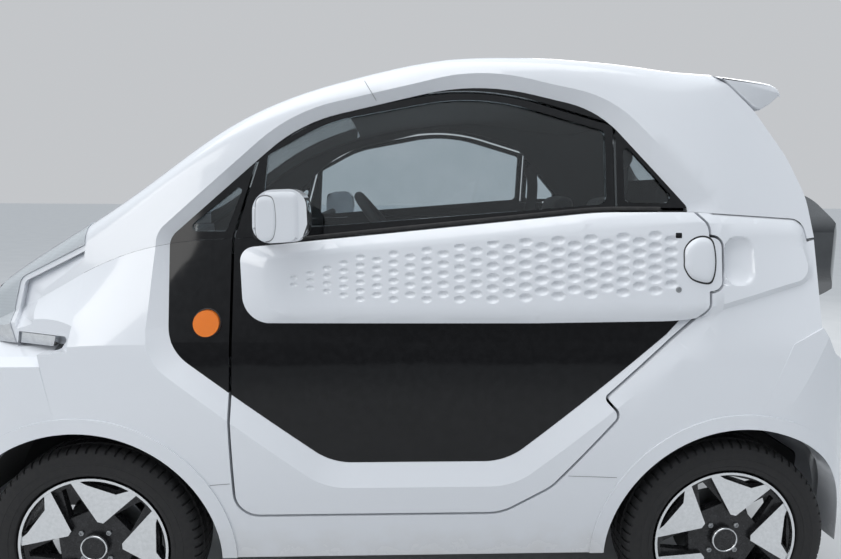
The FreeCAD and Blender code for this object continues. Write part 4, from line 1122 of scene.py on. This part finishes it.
for side_name, side in SIDES:
    for part, outline, y_low, y_high, crown in SEAT_PARTS:
        pad = cushion(f"seat_{part}_{side_name}", outline, y_low, y_high, side, crown)
        if part == "backrest":
            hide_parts("seats")
    for y in POSTS_Y:
        post = sweep([Vector((x, side * y, z)) for x, z in POST_RUN],
                     round_section(0.012, 0.012, 14), (1, 0, 0))
        piece(f"headrest_post_{side_name}_{round(y * 1000)}", post, "machined", "body", 50)
    base = sweep([Vector((x, side * BASE_Y, z)) for x, z in BASE_RUN], BASE_SECTION, (0, 0, 1))
    piece(f"seat_base_{side_name}", base, "plastic", "body", 40)

# Scene: pale floor, soft studio light, and the camera at the photograph's place
BACKDROP = (0.55, 0.565, 0.585)
SKY_LOW, SKY_HIGH = (0.20, 0.21, 0.23), (0.88, 0.94, 1.0)
FLOOR_HALF = 60.0
WHITE = (1, 1, 1)
LAMPS = (("overhead", (-0.8, -1.0, 5.4), (0, 0, 0.6), (6.0, 4.5), 150, WHITE),
         ("key", (-4.6, -4.2, 3.4), (-0.2, 0, 0.7), (3.0, 2.4), 60, (1.0, 0.985, 0.96)),
         ("back", (3.2, 4.5, 3.6), (0, 0, 0.8), (3.5, 2.5), 70, WHITE))
CAMERA_PLACE = Vector((-0.0502, -2.2518, 1.2017))
CAMERA_TURNS = (2.1645, 7.7696, 0.4196)
FOCAL_PIXELS = 629.28
PHOTO_WIDTH = 841
SENSOR = 36.0


def stage_floor():
    size = FLOOR_HALF
    mesh = bpy.data.meshes.new("studio_floor")
    mesh.from_pydata([(-size, -size, 0), (size, -size, 0), (size, size, 0), (-size, size, 0)],
                     [], [(0, 1, 2, 3)])
    floor = bpy.data.objects.new("studio_floor", mesh)
    bpy.context.scene.collection.objects.link(floor)
    mesh.materials.append(surface("studio_floor", (3.0, 3.0), (0.56, 0.565, 0.57),
                                  (0.60, 0.603, 0.606), Roughness=0.9))


def lamp(name, place, aim, size, power, colour):
    data = bpy.data.lights.new(name, "AREA")
    data.shape = "RECTANGLE"
    data.size, data.size_y = size
    data.energy = power
    data.color = colour
    item = bpy.data.objects.new(name, data)
    item.location = place
    item.rotation_mode = "QUATERNION"
    item.rotation_quaternion = (Vector(aim) - Vector(place)).to_track_quat("-Z", "Y")
    bpy.context.scene.collection.objects.link(item)


def studio():
    """Soft sky light; the camera and what the glass lets through see a plain pale backdrop."""
    world = bpy.data.worlds.new("studio")
    world.use_nodes = True
    tree = world.node_tree
    base = tree.nodes["Background"]
    coords = add(tree, "ShaderNodeTexCoord")
    split = add(tree, "ShaderNodeSeparateXYZ")
    link(tree, coords, "Generated", split, "Vector")
    ramp = ramp_between(tree, split, "Z", SKY_LOW, SKY_HIGH, 0.0, 0.75)
    path = add(tree, "ShaderNodeLightPath")
    seen = add(tree, "ShaderNodeMath", operation="MAXIMUM")
    link(tree, path, "Is Camera Ray", seen, 0)
    link(tree, path, "Is Transmission Ray", seen, 1)
    mix = add(tree, "ShaderNodeMix", data_type="RGBA")
    link(tree, seen, "Value", mix, "Factor")
    link(tree, ramp, "Color", mix, 6)
    mix.inputs[7].default_value = (*BACKDROP, 1)
    link(tree, mix, 2, base, "Color")
    base.inputs["Strength"].default_value = 1.0
    bpy.context.scene.world = world
    for row in LAMPS:
        lamp(*row)


def camera():
    """Camera at the place and angles worked out from the wheels and the outline in the photo."""
    yaw, pitch, roll = (math.radians(turn) for turn in CAMERA_TURNS)
    forward = Vector((math.sin(yaw) * math.cos(pitch), math.cos(yaw) * math.cos(pitch),
                      -math.sin(pitch)))
    right = Vector((math.cos(yaw), -math.sin(yaw), 0))
    up = right.cross(forward)
    side = right * math.cos(roll) + up * math.sin(roll)
    top = up * math.cos(roll) - right * math.sin(roll)
    data = bpy.data.cameras.new("photo_camera")
    data.sensor_width = SENSOR
    data.lens = FOCAL_PIXELS / PHOTO_WIDTH * SENSOR
    item = bpy.data.objects.new("photo_camera", data)
    basis = Matrix((side, top, -forward)).transposed()
    item.matrix_world = Matrix.Translation(CAMERA_PLACE) @ basis.to_4x4()
    bpy.context.scene.collection.objects.link(item)
    bpy.context.scene.camera = item


stage_floor()
studio()
camera()
bpy.context.scene.view_settings.view_transform = "Standard"
